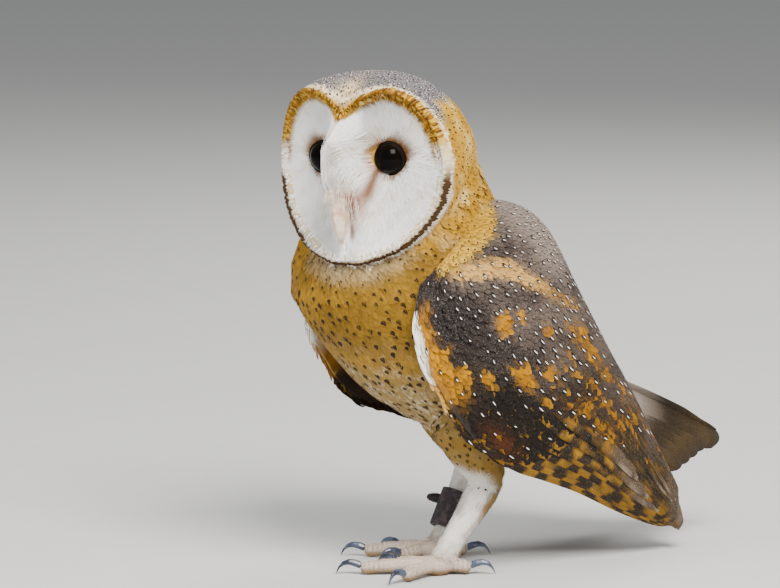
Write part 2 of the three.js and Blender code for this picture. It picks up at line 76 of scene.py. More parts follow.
class Tone:
    """Colours of the plumage and the bare parts, linear."""

    DISC = srgb(252, 249, 244)
    CREAM = srgb(238, 222, 186)
    GOLD = srgb(200, 158, 54)
    DEEP_GOLD = srgb(176, 130, 24)
    ORANGE = srgb(146, 96, 2)
    BREAST = srgb(130, 95, 18)
    BELLY = srgb(154, 126, 70)
    ASH = srgb(114, 108, 111)
    MANTLE = srgb(92, 79, 70)
    SMOKE = srgb(46, 37, 33)
    UMBER = srgb(36, 25, 13)
    BLACK_BROWN = srgb(17, 11, 6)
    PATCH = srgb(178, 122, 0)
    BAND = srgb(202, 158, 84)
    BAR_GOLD = srgb(148, 106, 0)
    BAR_DARK = srgb(24, 16, 6)
    TIP_GREY = srgb(82, 66, 51)
    TAIL_PALE = srgb(132, 121, 110)
    SHANK = srgb(242, 238, 231)
    THIGH = srgb(150, 115, 50)
    LINE = srgb(60, 40, 17)
    FACE_OCHRE = srgb(158, 104, 8)
    FACE_TEAR = srgb(136, 86, 50)
    TOE = srgb(200, 184, 168)
    PAD = srgb(132, 100, 50)


# ------------------------------------------------------------------------------ numbers


def unit(vectors: np.ndarray) -> np.ndarray:
    """Vectors scaled to length one."""
    return vectors / np.maximum(np.linalg.norm(vectors, axis=-1, keepdims=True), 1e-9)


def ramp(low: float, high: float, value: np.ndarray) -> np.ndarray:
    """Smooth step from 0 at low to 1 at high; low may be above high."""
    t = np.clip((np.asarray(value, float) - low) / (high - low), 0.0, 1.0)
    return t * t * (3.0 - 2.0 * t)


def mix(first: np.ndarray, second: np.ndarray, share: np.ndarray) -> np.ndarray:
    """Blend of two colours by a share for each point."""
    share = np.asarray(share, float)[..., None]
    return first * (1.0 - share) + second * share


def along(values: tuple[float, ...], t: np.ndarray) -> np.ndarray:
    """Catmull-Rom value at t (0 to 1) through evenly spaced values.

    Args:
        values: The values to pass through.
        t: Where to read them.

    Returns:
        An array shaped like t.
    """
    knots = np.asarray(values, float)
    place = np.clip(np.asarray(t, float), 0.0, 1.0) * (len(knots) - 1)
    i = np.minimum(place.astype(int), len(knots) - 2)
    f = place - i
    a, b, c, d = (knots[np.clip(i + k, 0, len(knots) - 1)] for k in (-1, 0, 1, 2))
    return b + 0.5 * f * (c - a + f * (2 * a - 5 * b + 4 * c - d + f * (3 * (b - c) + d - a)))


def cloud(points: np.ndarray, size: float, seed: int) -> np.ndarray:
    """Smooth value noise, 0 to 1, with blobs of about the given size.

    Args:
        points: Places, shape (..., 3).
        size: Blob size in the unit of the points.
        seed: Picks the pattern.

    Returns:
        Noise for each point.
    """
    scaled = np.asarray(points, float) / size + seed * 17.31
    cell = np.floor(scaled).astype(np.int64)
    f = scaled - cell
    f = f * f * (3 - 2 * f)
    total = np.zeros(scaled.shape[:-1])
    for corner in range(8):
        offset = np.array([corner & 1, (corner >> 1) & 1, (corner >> 2) & 1])
        key = (cell + offset) @ np.array([73856093, 19349663, 83492791])
        value = ((key * 2654435761) % 4294967291) / 4294967291.0
        weight = np.prod(np.where(offset == 1, f, 1 - f), axis=-1)
        total += value * weight
    return total


# ------------------------------------------------------------------------------ forms


@dataclass(frozen=True)
class HeadForm:
    """The head and facial disc; places inside are side (to the left), up and ahead."""

    centre: tuple[float, float, float] = (0.0, -29.0, 225.0)
    turn: float = math.radians(32)
    roll: float = math.radians(1.9)
    back: float = 48.0
    rim_ahead: float = 25.0
    hub: float = -2.0
    rim: tuple[tuple[float, float], ...] = (
        (0, 32), (12, 38.5), (26, 41), (40, 31), (48, 12), (49, -6), (44, -24), (30, -40), (12, -48),
    )
    chin: float = -49.0
    half_width: float = 49.0
    bow: float = 21.0
    dish: float = 11.5
    keel: float = 22.0
    keel_width: float = 8.5

    def axes(self) -> tuple[np.ndarray, np.ndarray, np.ndarray]:
        """Unit directions to the left, up and ahead."""
        ahead = np.array([math.sin(self.turn), -math.cos(self.turn), 0.0])
        level = np.array([math.cos(self.turn), math.sin(self.turn), 0.0])
        left = level * math.cos(self.roll) + np.array([0.0, 0.0, math.sin(self.roll)])
        up = np.cross(ahead, left)
        return left, up * np.sign(up[2]), ahead

    def place(self, side: np.ndarray, up: np.ndarray, ahead: np.ndarray) -> np.ndarray:
        """Points of the owl's frame from places in the head."""
        left, upward, forward = self.axes()
        parts = [np.asarray(v, float)[..., None] for v in (side, up, ahead)]
        return np.array(self.centre) + parts[0] * left + parts[1] * upward + parts[2] * forward

    def locate(self, points: np.ndarray) -> tuple[np.ndarray, np.ndarray, np.ndarray]:
        """Places in the head (side, up, ahead) of points of the owl's frame."""
        offset = np.asarray(points, float) - np.array(self.centre)
        return tuple(offset @ axis for axis in self.axes())

    def rim_points(self, count: int) -> np.ndarray:
        """Side and up of the disc's rim at even steps, from the notch round by the left."""
        left = [tuple(p) for p in self.rim]
        right = [(-x, y) for x, y in reversed(left[1:])]
        knots = np.array(left + [(0.0, self.chin)] + right, float)
        place = np.linspace(0, len(knots), count, endpoint=False)
        i = place.astype(int)
        f = (place - i)[:, None]
        a, b, c, d = (knots[(i + k) % len(knots)] for k in (-1, 0, 1, 2))
        return b + 0.5 * f * (c - a + f * (2 * a - 5 * b + 4 * c - d + f * (3 * (b - c) + d - a)))

    def rim_reach(self, side: np.ndarray, up: np.ndarray) -> np.ndarray:
        """Distance from the hub to the rim in the direction of each place."""
        rim = self.rim_points(720)
        angle = np.arctan2(rim[:, 0], rim[:, 1] - self.hub)
        order = np.argsort(angle)
        reach = np.hypot(rim[:, 0], rim[:, 1] - self.hub)[order]
        query = np.arctan2(side, np.asarray(up) - self.hub)
        return np.interp(query, angle[order], reach, period=2 * math.pi)

    def face_ahead(self, side: np.ndarray, up: np.ndarray, t: np.ndarray) -> np.ndarray:
        """How far the face stands ahead of the centre; t is 0 at the hub and 1 on the rim."""
        bow = self.bow * (1 - (side / self.half_width) ** 2)
        height = self.keel * ramp(-26, -1, up) * (1 - ramp(12, 33, up))
        keel = np.exp(-((side / self.keel_width) ** 2))
        hollow = self.dish * (1 - t**4) * (1 - keel)
        return self.rim_ahead + bow - hollow + height * keel

    def on_face(self, side: np.ndarray, up: np.ndarray) -> np.ndarray:
        """Points of the owl's frame on the face at a side and height."""
        t = np.hypot(side, up - self.hub) / self.rim_reach(side, up)
        return self.place(side, up, self.face_ahead(side, up, np.minimum(t, 1.0)))

    def grid(self, spokes: int, face_rings: int, back_rings: int) -> tuple[np.ndarray, np.ndarray]:
        """The closed head as rings of points, with its faces.

        Args:
            spokes: Points round each ring.
            face_rings: Rings from the hub to the rim.
            back_rings: Rings from the rim to the nape.

        Returns:
            Points (n, 3) and quads (m, 4).
        """
        rim = self.rim_points(spokes)
        radial = rim - np.array([0.0, self.hub])
        reach = np.linalg.norm(radial, axis=1)
        direction = radial / reach[:, None]
        rings = []
        for t in np.linspace(0.0, 1.0, face_rings + 1):
            side, up = direction[:, 0] * reach * t, self.hub + direction[:, 1] * reach * t
            rings.append(self.place(side, up, self.face_ahead(side, up, t)))
        rise = direction[:, 1]
        shoulder = np.where(rise > 0, 58.5 + 7.5 * rise**6, 58.5 + 7.5 * rise)
        start = self.face_ahead(rim[:, 0], rim[:, 1], 1.0)
        for w in np.linspace(0.0, 1.0, back_rings + 1)[1:]:
            b = [(1 - w) ** 3, 3 * w * (1 - w) ** 2, 3 * w * w * (1 - w), w**3]
            depth = b[0] * start + b[1] * (start - 16) - b[2] * (self.back + 2) - b[3] * self.back
            radius = b[0] * reach + b[1] * shoulder + b[2] * 51
            hub = self.hub + (2 - self.hub) * w
            rings.append(self.place(direction[:, 0] * radius, hub + direction[:, 1] * radius, depth))
        return np.concatenate(rings), ring_faces(len(rings), spokes)


@dataclass(frozen=True)
class WingForm:
    """The folded left wing: t runs along its stations and v from its lower edge to the back."""

    slope: float = math.radians(46)
    tuck: float = math.radians(30)
    at: tuple[float, ...] = (-143, -132, -114, -96, -80, -55, -29, -8, 16, 46, 72, 84)
    low: tuple[float, ...] = (88, 68, 56, 52, 49, 50, 56, 66, 77, 88, 99, 106)
    high: tuple[float, ...] = (142, 158, 169, 173, 172, 167, 161, 156, 150, 140, 131, 126)
    outer: tuple[float, ...] = (54, 60, 63.5, 65, 65, 63.5, 61, 57, 52, 44, 37, 33)
    inner: tuple[float, ...] = (36, 30, 24, 17, 11, 5, 3, 3, 6, 14, 22, 26)
    far_spread: float = 1.17
    far_lift: float = 0.88
    lift_from: float = 165.0

    def lines(self) -> tuple[np.ndarray, np.ndarray]:
        """Unit directions along the falling line of the wing and square to it."""
        fall = np.array([0.0, math.cos(self.slope), -math.sin(self.slope)])
        over = np.array([0.0, math.sin(self.slope), math.cos(self.slope)])
        return fall, over

    def point(self, t: np.ndarray, v: np.ndarray, depth: np.ndarray = 0.0) -> np.ndarray:
        """Points of the left wing's surface, or below it by a depth. t may pass 1.

        Args:
            t: Place along the stations.
            v: Place from the lower edge to the back.
            depth: Distance inwards.

        Returns:
            Points of the owl's frame.
        """
        t, v, depth = np.broadcast_arrays(*(np.asarray(a, float) for a in (t, v, depth)))
        low, high, inner, outer = (along(k, t) for k in (self.low, self.high, self.inner, self.outer))
        waist = low + (high - low) * 0.42
        angle = -self.tuck + (math.pi / 2 + self.tuck) * v
        rise = np.where(angle > 0, high - waist, (waist - low) / math.sin(self.tuck))
        reach = outer - inner
        normal = unit(np.stack([np.cos(angle) / reach, np.sin(angle) / rise], -1))
        fall, over = self.lines()
        station = along(self.at, t) + np.maximum(t - 1.0, 0.0) * 160.0
        x = inner + reach * np.cos(angle) - normal[..., 0] * depth
        height = waist + rise * np.sin(angle) - normal[..., 1] * depth
        return x[..., None] * np.array([1.0, 0, 0]) + station[..., None] * fall + height[..., None] * over

    def normal(self, t: np.ndarray, v: np.ndarray) -> np.ndarray:
        """Outward directions of the left wing's surface."""
        return unit(self.point(t, v) - self.point(t, v, 1.0))

    def locate(self, points: np.ndarray) -> tuple[np.ndarray, np.ndarray]:
        """Distance along the falling line and over it, for points of the owl's frame."""
        fall, over = self.lines()
        return points @ fall, points @ over

    def to_right(self, points: np.ndarray) -> np.ndarray:
        """Points of the right wing from those of the left: further out, and lifted toward the rear."""
        fall, over = self.lines()
        share = (1 - self.far_lift) * ramp(-80, -25, points @ fall)
        raised = points + ((self.lift_from - points @ over) * share)[..., None] * over
        return raised * np.array([-self.far_spread, 1.0, 1.0])

    def to_left(self, points: np.ndarray) -> np.ndarray:
        """Points of the left wing from those of the right."""
        fall, over = self.lines()
        share = (1 - self.far_lift) * ramp(-80, -25, points @ fall)
        height = points @ over
        lowered = points + ((height - self.lift_from * share) / (1 - share) - height)[..., None] * over
        return lowered * np.array([-1.0 / self.far_spread, 1.0, 1.0])


HEAD = HeadForm()
WING = WingForm()
EYE = {"side": 19.3, "up": 5.6, "ahead": 28.6, "radius": 9.2}


@dataclass
class Place:
    """Turns the owl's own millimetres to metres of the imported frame."""

    shift: np.ndarray

    @classmethod
    def from_frame(cls) -> "Place":
        """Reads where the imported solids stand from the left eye."""
        low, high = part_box("left_eye")
        packed = (np.array(low) + np.array(high)) / 2
        drawn = HEAD.place(EYE["side"], EYE["up"], EYE["ahead"])
        return cls(packed / MM - drawn)

    def to_row(self, points: np.ndarray) -> np.ndarray:
        """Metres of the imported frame."""
        return (np.asarray(points, float) + self.shift) * MM

    def to_owl(self, points: np.ndarray) -> np.ndarray:
        """Millimetres of the owl's frame."""
        return np.asarray(points, float) / MM - self.shift


PLACE = Place.from_frame()


# ------------------------------------------------------------------------------ meshes


def ring_faces(rings: int, count: int) -> np.ndarray:
    """Quads between closed rings laid out one after another."""
    i, j = np.meshgrid(np.arange(rings - 1), np.arange(count), indexing="ij")
    k = (j + 1) % count
    return np.stack([i * count + j, i * count + k, (i + 1) * count + k, (i + 1) * count + j], -1).reshape(-1, 4)


def make_mesh(
    name: str,
    points: np.ndarray,
    faces: np.ndarray,
    material: bpy.types.Material,
    colours: dict[str, np.ndarray] | None = None,
    maps: dict[str, np.ndarray] | None = None,
) -> bpy.types.Object:
    """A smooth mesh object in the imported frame.

    Args:
        name: Object name.
        points: Millimetres of the owl's frame, (n, 3).
        faces: Quads, (m, 4).
        material: Its finish.
        colours: Point colour attributes by name, each (n, 3) or (n, 4).
        maps: UV maps by name, each (n, 2) at the points.

    Returns:
        The object, linked to the scene.
    """
    mesh = bpy.data.meshes.new(name)
    mesh.vertices.add(len(points))
    mesh.vertices.foreach_set("co", PLACE.to_row(points).astype(np.float32).ravel())
    mesh.loops.add(faces.size)
    mesh.loops.foreach_set("vertex_index", faces.astype(np.int32).ravel())
    mesh.polygons.add(len(faces))
    mesh.polygons.foreach_set("loop_start", np.arange(0, faces.size, 4, dtype=np.int32))
    mesh.update(calc_edges=True)
    mesh.polygons.foreach_set("use_smooth", np.ones(len(faces), bool))
    for key, values in (colours or {}).items():
        rgba = np.ones((len(points), 4), np.float32)
        rgba[:, : values.shape[1]] = values
        mesh.attributes.new(key, "FLOAT_COLOR", "POINT").data.foreach_set("color", rgba.ravel())
    for key, values in (maps or {}).items():
        layer = mesh.uv_layers.new(name=key)
        layer.uv.foreach_set("vector", values[faces.ravel()].astype(np.float32).ravel())
    mesh.materials.append(material)
    piece = bpy.data.objects.new(name, mesh)
    bpy.context.scene.collection.objects.link(piece)
    return piece


def bake_modifiers(piece: bpy.types.Object) -> None:
    """Replaces a piece's mesh by the one its modifiers give, and removes them."""
    graph = bpy.context.evaluated_depsgraph_get()
    mesh = bpy.data.meshes.new_from_object(piece.evaluated_get(graph))
    piece.modifiers.clear()
    piece.data = mesh


def tube(
    path: np.ndarray, across: np.ndarray, over: np.ndarray, half_width: np.ndarray, half_depth: np.ndarray, count: int
) -> tuple[np.ndarray, np.ndarray]:
    """A tube of ovals along a path, closed at both ends.

    Args:
        path: Middle of each oval.
        across: Direction of each oval's width.
        over: Direction of each oval's depth.
        half_width: Half the width of each.
        half_depth: Half the depth of each.
        count: Points round.

    Returns:
        Points and quads.
    """
    angle = np.linspace(0, 2 * math.pi, count, endpoint=False)
    ring = (
        path[:, None, :]
        + across[:, None, :] * (np.cos(angle)[None, :] * half_width[:, None])[..., None]
        + over[:, None, :] * (np.sin(angle)[None, :] * half_depth[:, None])[..., None]
    )
    first = np.repeat(path[None, :1], count, axis=1)
    last = np.repeat(path[None, -1:], count, axis=1)
    rings = np.concatenate([first, ring, last])
    return rings.reshape(-1, 3), ring_faces(len(rings), count)


@dataclass
class Blades:
    """A batch of feathers, each a grid of points: feather, step along it, point across it.

    The tint is given for each feather, each step or each point, and the marks for each feather
    or each step. The patch is the root's place on the unwrap of the skin.
    """

    grid: np.ndarray
    tint: np.ndarray
    marks: np.ndarray
    patch: np.ndarray
    thickness: float = 0.0

    def build(self, name: str, material: bpy.types.Material) -> bpy.types.Object:
        """Makes the mesh, with its tint, marks and maps.

        Args:
            name: Object name.
            material: Finish of the feathers.

        Returns:
            The object.
        """
        count, steps, columns = self.grid.shape[:3]
        vane = np.stack(np.meshgrid(np.linspace(0, 1, steps), np.linspace(0, 1, columns), indexing="ij")[::-1], -1)
        normal = self._normals()
        sheets = [self.grid]
        if self.thickness:
            sheets.append(self.grid - normal * self.thickness)
        layers = len(sheets)
        points = np.stack(sheets, 1)
        i, j = np.meshgrid(np.arange(steps - 1), np.arange(columns - 1), indexing="ij")
        quad = np.stack([i * columns + j, i * columns + j + 1, (i + 1) * columns + j + 1, (i + 1) * columns + j], -1)
        quad = quad.reshape(-1, 4)
        quads = [quad]
        if self.thickness:
            under = steps * columns
            edge = np.concatenate([
                np.arange(columns - 1, 0, -1), np.arange(0, steps - 1) * columns,
                (steps - 1) * columns + np.arange(0, columns - 1), np.arange(steps - 1, 0, -1) * columns + columns - 1,
            ])
            after = np.roll(edge, -1)
            quads.append(quad[:, ::-1] + under)
            quads.append(np.stack([edge, after, after + under, edge + under], -1))
        each = np.concatenate(quads)
        per = layers * steps * columns
        faces = (each[None] + (np.arange(count) * per)[:, None, None]).reshape(-1, 4)
        shape = (count, layers, steps, columns)
        patch = self.patch[:, None, None, None, :] + (vane - 0.5)[None, None] * 0.003
        return make_mesh(
            name,
            points.reshape(-1, 3),
            faces,
            material,
            {"tint": self._spread(self.tint, shape), "marks": self._spread(self.marks, shape)},
            {
                "Vane": np.broadcast_to(vane, shape + (2,)).reshape(-1, 2),
                "OFBake": np.broadcast_to(patch, shape + (2,)).reshape(-1, 2),
            },
        )

    def _normals(self) -> np.ndarray:
        """Outward directions at the grid's points."""
        along_it = np.gradient(self.grid, axis=1)
        across_it = np.gradient(self.grid, axis=2)
        return unit(np.cross(across_it, along_it))

    @staticmethod
    def _spread(values: np.ndarray, shape: tuple[int, ...]) -> np.ndarray:
        """Values of each feather, step or point, spread to every point of the mesh."""
        width = values.shape[-1]
        if values.ndim == 2:
            values = values[:, None, None, None, :]
        elif values.ndim == 3:
            values = values[:, None, :, None, :]
        else:
            values = values[:, None, :, :, :]
        return np.broadcast_to(values, shape + (width,)).reshape(-1, width)


# ------------------------------------------------------------------------------ finishes


class NodeKit:
    """Short calls that lay out shader nodes in a tree."""

    def __init__(self, tree: bpy.types.NodeTree) -> None:
        """Starts on a tree."""
        self.tree = tree

    def add(self, kind: str, **settings: object) -> bpy.types.Node:
        """A node with its properties set."""
        node = self.tree.nodes.new(kind)
        for key, value in settings.items():
            setattr(node, key, value)
        return node

    def link(self, source: bpy.types.NodeSocket, target: bpy.types.NodeSocket) -> None:
        """Joins two sockets."""
        self.tree.links.new(source, target)

    def math(self, operation: str, *values: object, clamp: bool = False) -> bpy.types.NodeSocket:
        """Result of a math node on sockets or numbers."""
        node = self.add("ShaderNodeMath", operation=operation, use_clamp=clamp)
        for socket, value in zip(node.inputs, values):
            self._feed(socket, value)
        return node.outputs[0]

    def mix(self, share: object, first: object, second: object, blend: str = "MIX") -> bpy.types.NodeSocket:
        """Result of a colour mix."""
        node = self.add("ShaderNodeMix", data_type="RGBA", blend_type=blend)
        self._feed(node.inputs[0], share)
        self._feed(node.inputs[6], first)
        self._feed(node.inputs[7], second)
        return node.outputs[2]

    def step(self, value: object, low: float, high: float) -> bpy.types.NodeSocket:
        """Smooth step of a value from low to high, 0 to 1."""
        node = self.add("ShaderNodeMapRange", interpolation_type="SMOOTHSTEP")
        self._feed(node.inputs[0], value)
        node.inputs[1].default_value = low
        node.inputs[2].default_value = high
        return node.outputs[0]

    def noise(self, vector: bpy.types.NodeSocket, scale: float, detail: float = 2.0) -> bpy.types.NodeSocket:
        """Noise value at a vector."""
        node = self.add("ShaderNodeTexNoise")
        self.link(vector, node.inputs["Vector"])
        node.inputs["Scale"].default_value = scale
        node.inputs["Detail"].default_value = detail
        return node.outputs[0]

    def _feed(self, socket: bpy.types.NodeSocket, value: object) -> None:
        """Links a socket or sets a number or colour."""
        if isinstance(value, bpy.types.NodeSocket):
            self.link(value, socket)
        elif isinstance(value, (int, float)):
            socket.default_value = value
        else:
            socket.default_value = (*[float(c) for c in value], 1.0)[:4]


def new_material(name: str) -> tuple[bpy.types.Material, NodeKit, bpy.types.Node]:
    """An empty material with its tree and Principled shader."""
    material = bpy.data.materials.new(name)
    material.use_nodes = True
    kit = NodeKit(material.node_tree)
    shader = next(n for n in material.node_tree.nodes if n.type == "BSDF_PRINCIPLED")
    return material, kit, shader


def barb_group() -> bpy.types.NodeTree:
    """Node group of the fine slanted barbs and the shaft of a feather, from its vane map.

    Returns:
        A group with inputs Vane and Barbs, and outputs Shade and Height.
    """
    name = "feather barbs"
    if name in bpy.data.node_groups:
        return bpy.data.node_groups[name]
    group = bpy.data.node_groups.new(name, "ShaderNodeTree")
    group.interface.new_socket("Vane", in_out="INPUT", socket_type="NodeSocketVector")
    group.interface.new_socket("Barbs", in_out="INPUT", socket_type="NodeSocketFloat")
    group.interface.new_socket("Shade", in_out="OUTPUT", socket_type="NodeSocketFloat")
    group.interface.new_socket("Height", in_out="OUTPUT", socket_type="NodeSocketFloat")
    kit = NodeKit(group)
    entry = kit.add("NodeGroupInput")
    leave = kit.add("NodeGroupOutput")
    split = kit.add("ShaderNodeSeparateXYZ")
    kit.link(entry.outputs["Vane"], split.inputs[0])
    from_shaft = kit.math("ABSOLUTE", kit.math("SUBTRACT", split.outputs[0], 0.5))
    slanted = kit.math("SUBTRACT", split.outputs[1], kit.math("MULTIPLY", from_shaft, 0.55))
    comb = kit.add("ShaderNodeCombineXYZ")
    kit.link(kit.math("MULTIPLY", slanted, entry.outputs["Barbs"]), comb.inputs[0])
    kit.link(kit.math("MULTIPLY", split.outputs[0], 1.2), comb.inputs[1])
    grain = kit.noise(comb.outputs[0], 1.0, 2.0)
    shaft = kit.step(from_shaft, 0.045, 0.0)
    kit.link(kit.math("ADD", kit.math("MULTIPLY", grain, 1.0), kit.math("MULTIPLY", shaft, 0.25)), leave.inputs["Shade"])
    kit.link(kit.math("ADD", grain, kit.math("MULTIPLY", shaft, 0.8)), leave.inputs["Height"])
    return group


@dataclass(frozen=True)
class PlumeFinish:
    """A feather finish: its tint comes from the mesh, its marks from the vane map."""

    name: str
    roughness: float = 0.72
    sheen: float = 0.04
    barbs: float = 24.0
    contrast: float = 0.22
    bump: float = 0.25
    spot_size: tuple[float, float] = (0.20, 0.13)
    drop_size: tuple[float, float] = (0.10, 0.12)
    pepper_scale: float = 1300.0
    edge: float = 0.0

    def build(self) -> bpy.types.Material:
        """Makes the material.

        Returns:
            The material.
        """
        material, kit, shader = new_material(self.name)
        tint = kit.add("ShaderNodeAttribute", attribute_name="tint")
        marks = kit.add("ShaderNodeAttribute", attribute_name="marks")
        channel = kit.add("ShaderNodeSeparateColor")
        kit.link(marks.outputs["Color"], channel.inputs[0])
        vane = kit.add("ShaderNodeUVMap", uv_map="Vane")
        split = kit.add("ShaderNodeSeparateXYZ")
        kit.link(vane.outputs[0], split.inputs[0])
        barbs = kit.add("ShaderNodeGroup")
        barbs.node_tree = barb_group()
        kit.link(vane.outputs[0], barbs.inputs["Vane"])
        barbs.inputs["Barbs"].default_value = self.barbs
        low, high = 1.0 - self.contrast, 1.0 + self.contrast
        shade = kit.math("ADD", kit.math("MULTIPLY", barbs.outputs["Shade"], high - low), low - 0.06)
        grey = kit.add("ShaderNodeCombineColor")
        for socket in grey.inputs[:3]:
            kit.link(shade, socket)
        colour = kit.mix(1.0, tint.outputs["Color"], grey.outputs[0], "MULTIPLY")
        where = kit.add("ShaderNodeTexCoord")
        pepper = kit.noise(where.outputs["Object"], self.pepper_scale, 3.0)
        pale = kit.math("MULTIPLY", kit.step(pepper, 0.52, 0.62), channel.outputs[Mark.PEPPER.value])
        dark = kit.math("MULTIPLY", kit.step(pepper, 0.46, 0.36), channel.outputs[Mark.PEPPER.value])
        colour = kit.mix(kit.math("MULTIPLY", pale, 0.22), colour, tuple(srgb(176, 168, 162)))
        colour = kit.mix(kit.math("MULTIPLY", dark, 0.36), colour, tuple(srgb(24, 19, 18)))
        wobble = kit.math("MULTIPLY", kit.math("SUBTRACT", pepper, 0.5), 0.25)
        spot = self._blot(kit, split, self.spot_size, 0.82, wobble)
        colour = kit.mix(kit.math("MULTIPLY", spot, channel.outputs[Mark.SPOT.value]), colour, tuple(srgb(38, 24, 12)))
        ring = self._blot(kit, split, (self.drop_size[0] * 3.6, self.drop_size[1] * 2.5), 0.80, wobble)
        colour = kit.mix(kit.math("MULTIPLY", ring, channel.outputs[Mark.DROP.value]), colour, tuple(srgb(22, 18, 17)))
        drop = self._blot(kit, split, self.drop_size, 0.87, wobble)
        white = tuple(srgb(236, 232, 224))
        colour = kit.mix(kit.math("MULTIPLY", drop, channel.outputs[Mark.DROP.value]), colour, white)
        kit.link(colour, shader.inputs["Base Color"])
        shader.inputs["Roughness"].default_value = self.roughness
        shader.inputs["Sheen Weight"].default_value = self.sheen
        shader.inputs["Sheen Roughness"].default_value = 0.5
        shader.inputs["Specular IOR Level"].default_value = 0.16
        bump = kit.add("ShaderNodeBump")
        bump.inputs["Strength"].default_value = self.bump
        bump.inputs["Distance"].default_value = 0.0002
        kit.link(barbs.outputs["Height"], bump.inputs["Height"])
        kit.link(bump.outputs[0], shader.inputs["Normal"])
        return material

    @staticmethod
    def _blot(
        kit: NodeKit, split: bpy.types.Node, size: tuple[float, float], centre: float, wobble: bpy.types.NodeSocket
    ) -> bpy.types.NodeSocket:
        """Mask of a soft-edged oval on the vane map.

        Args:
            kit: Tree to add to.
            split: Node that splits the vane map.
            size: Half width and half height of the oval.
            centre: Its place along the vane.
            wobble: Small change to its outline.

        Returns:
            Mask socket, 1 inside.
        """
        x = kit.math("DIVIDE", kit.math("SUBTRACT", split.outputs[0], 0.5), size[0])
        y = kit.math("DIVIDE", kit.math("SUBTRACT", split.outputs[1], centre), size[1])
        distance = kit.math("SQRT", kit.math("ADD", kit.math("MULTIPLY", x, x), kit.math("MULTIPLY", y, y)))
        return kit.step(kit.math("ADD", distance, wobble), 1.1, 0.75)


@dataclass(frozen=True)
class SkinFinish:
    """Finish of the skin: its own tint, fine scales on the bare feet."""

    name: str = "owl skin"

    def build(self) -> bpy.types.Material:
        """Makes the material."""
        material, kit, shader = new_material(self.name)
        tint = kit.add("ShaderNodeAttribute", attribute_name="tint")
        where = kit.add("ShaderNodeTexCoord")
        cells = kit.add("ShaderNodeTexVoronoi", feature="DISTANCE_TO_EDGE")
        kit.link(where.outputs["Object"], cells.inputs["Vector"])
        cells.inputs["Scale"].default_value = 820.0
        grout = kit.step(cells.outputs[0], 0.12, 0.0)
        blotch = kit.noise(where.outputs["Object"], 260.0, 4.0)
        colour = kit.mix(kit.math("MULTIPLY", grout, 0.5), tint.outputs["Color"], tuple(srgb(128, 96, 84)))
        colour = kit.mix(kit.math("MULTIPLY", kit.step(blotch, 0.5, 0.75), 0.4), colour, tuple(srgb(176, 140, 118)))
        bare = kit.add("ShaderNodeAttribute", attribute_name="marks")
        split = kit.add("ShaderNodeSeparateColor")
        kit.link(bare.outputs["Color"], split.inputs[0])
        colour = kit.mix(split.outputs[0], tint.outputs["Color"], colour)
        kit.link(colour, shader.inputs["Base Color"])
        shader.inputs["Roughness"].default_value = 0.55
        bump = kit.add("ShaderNodeBump")
        bump.inputs["Strength"].default_value = 0.5
        bump.inputs["Distance"].default_value = 0.0003
        kit.link(kit.step(cells.outputs[0], 0.0, 0.25), bump.inputs["Height"])
        kit.link(bump.outputs[0], shader.inputs["Normal"])
        return material


@dataclass(frozen=True)
class HornFinish:
    """Smooth horn of the claws or bill, with faint growth streaks."""

    name: str
    colour: tuple[float, float, float]
    streak: tuple[float, float, float]
    roughness: float = 0.28
    scale: float = 180.0
    gloss: float = 0.5

    def build(self) -> bpy.types.Material:
        """Makes the material."""
        material, kit, shader = new_material(self.name)
        where = kit.add("ShaderNodeTexCoord")
        grain = kit.noise(where.outputs["Object"], self.scale, 5.0)
        colour = kit.mix(kit.step(grain, 0.4, 0.65), tuple(srgb(*self.colour)), tuple(srgb(*self.streak)))
        kit.link(colour, shader.inputs["Base Color"])
        rough = kit.math("ADD", kit.math("MULTIPLY", grain, 0.18), self.roughness - 0.09)
        kit.link(rough, shader.inputs["Roughness"])
        shader.inputs["Specular IOR Level"].default_value = self.gloss
        bump = kit.add("ShaderNodeBump")
        bump.inputs["Strength"].default_value = 0.15
        bump.inputs["Distance"].default_value = 0.0002
        kit.link(grain, bump.inputs["Height"])
        kit.link(bump.outputs[0], shader.inputs["Normal"])
        return material


@dataclass(frozen=True)
class EyeFinish:
    """Wet dark eye: a deep brown iris that is hardly told from the pupil."""

    name: str = "wet dark eye"

    def build(self) -> bpy.types.Material:
        """Makes the material."""
        material, kit, shader = new_material(self.name)
        ring = kit.add("ShaderNodeAttribute", attribute_name="tint")
        where = kit.add("ShaderNodeTexCoord")
        fleck = kit.noise(where.outputs["Object"], 900.0, 3.0)
        colour = kit.mix(kit.math("MULTIPLY", fleck, 0.4), ring.outputs["Color"], (0.004, 0.002, 0.001))
        kit.link(colour, shader.inputs["Base Color"])
        shader.inputs["Roughness"].default_value = 0.03
        shader.inputs["IOR"].default_value = 1.13
        return material


@dataclass(frozen=True)
class LeatherFinish:
    """Dark greased leather of the anklet, with grain and paler blotches."""

    name: str = "dark anklet leather"

    def build(self) -> bpy.types.Material:
        """Makes the material."""
        material, kit, shader = new_material(self.name)
        where = kit.add("ShaderNodeTexCoord")
        cells = kit.add("ShaderNodeTexVoronoi")
        kit.link(where.outputs["Object"], cells.inputs["Vector"])
        cells.inputs["Scale"].default_value = 900.0
        grain = kit.noise(where.outputs["Object"], 320.0, 5.0)
        colour = kit.mix(kit.step(grain, 0.45, 0.7), tuple(srgb(40, 33, 36)), tuple(srgb(78, 66, 66)))
        kit.link(colour, shader.inputs["Base Color"])
        kit.link(kit.math("ADD", kit.math("MULTIPLY", grain, 0.3), 0.4), shader.inputs["Roughness"])
        bump = kit.add("ShaderNodeBump")
        bump.inputs["Strength"].default_value = 0.35
        bump.inputs["Distance"].default_value = 0.0003
        kit.link(cells.outputs[0], bump.inputs["Height"])
        kit.link(bump.outputs[0], shader.inputs["Normal"])
        return material


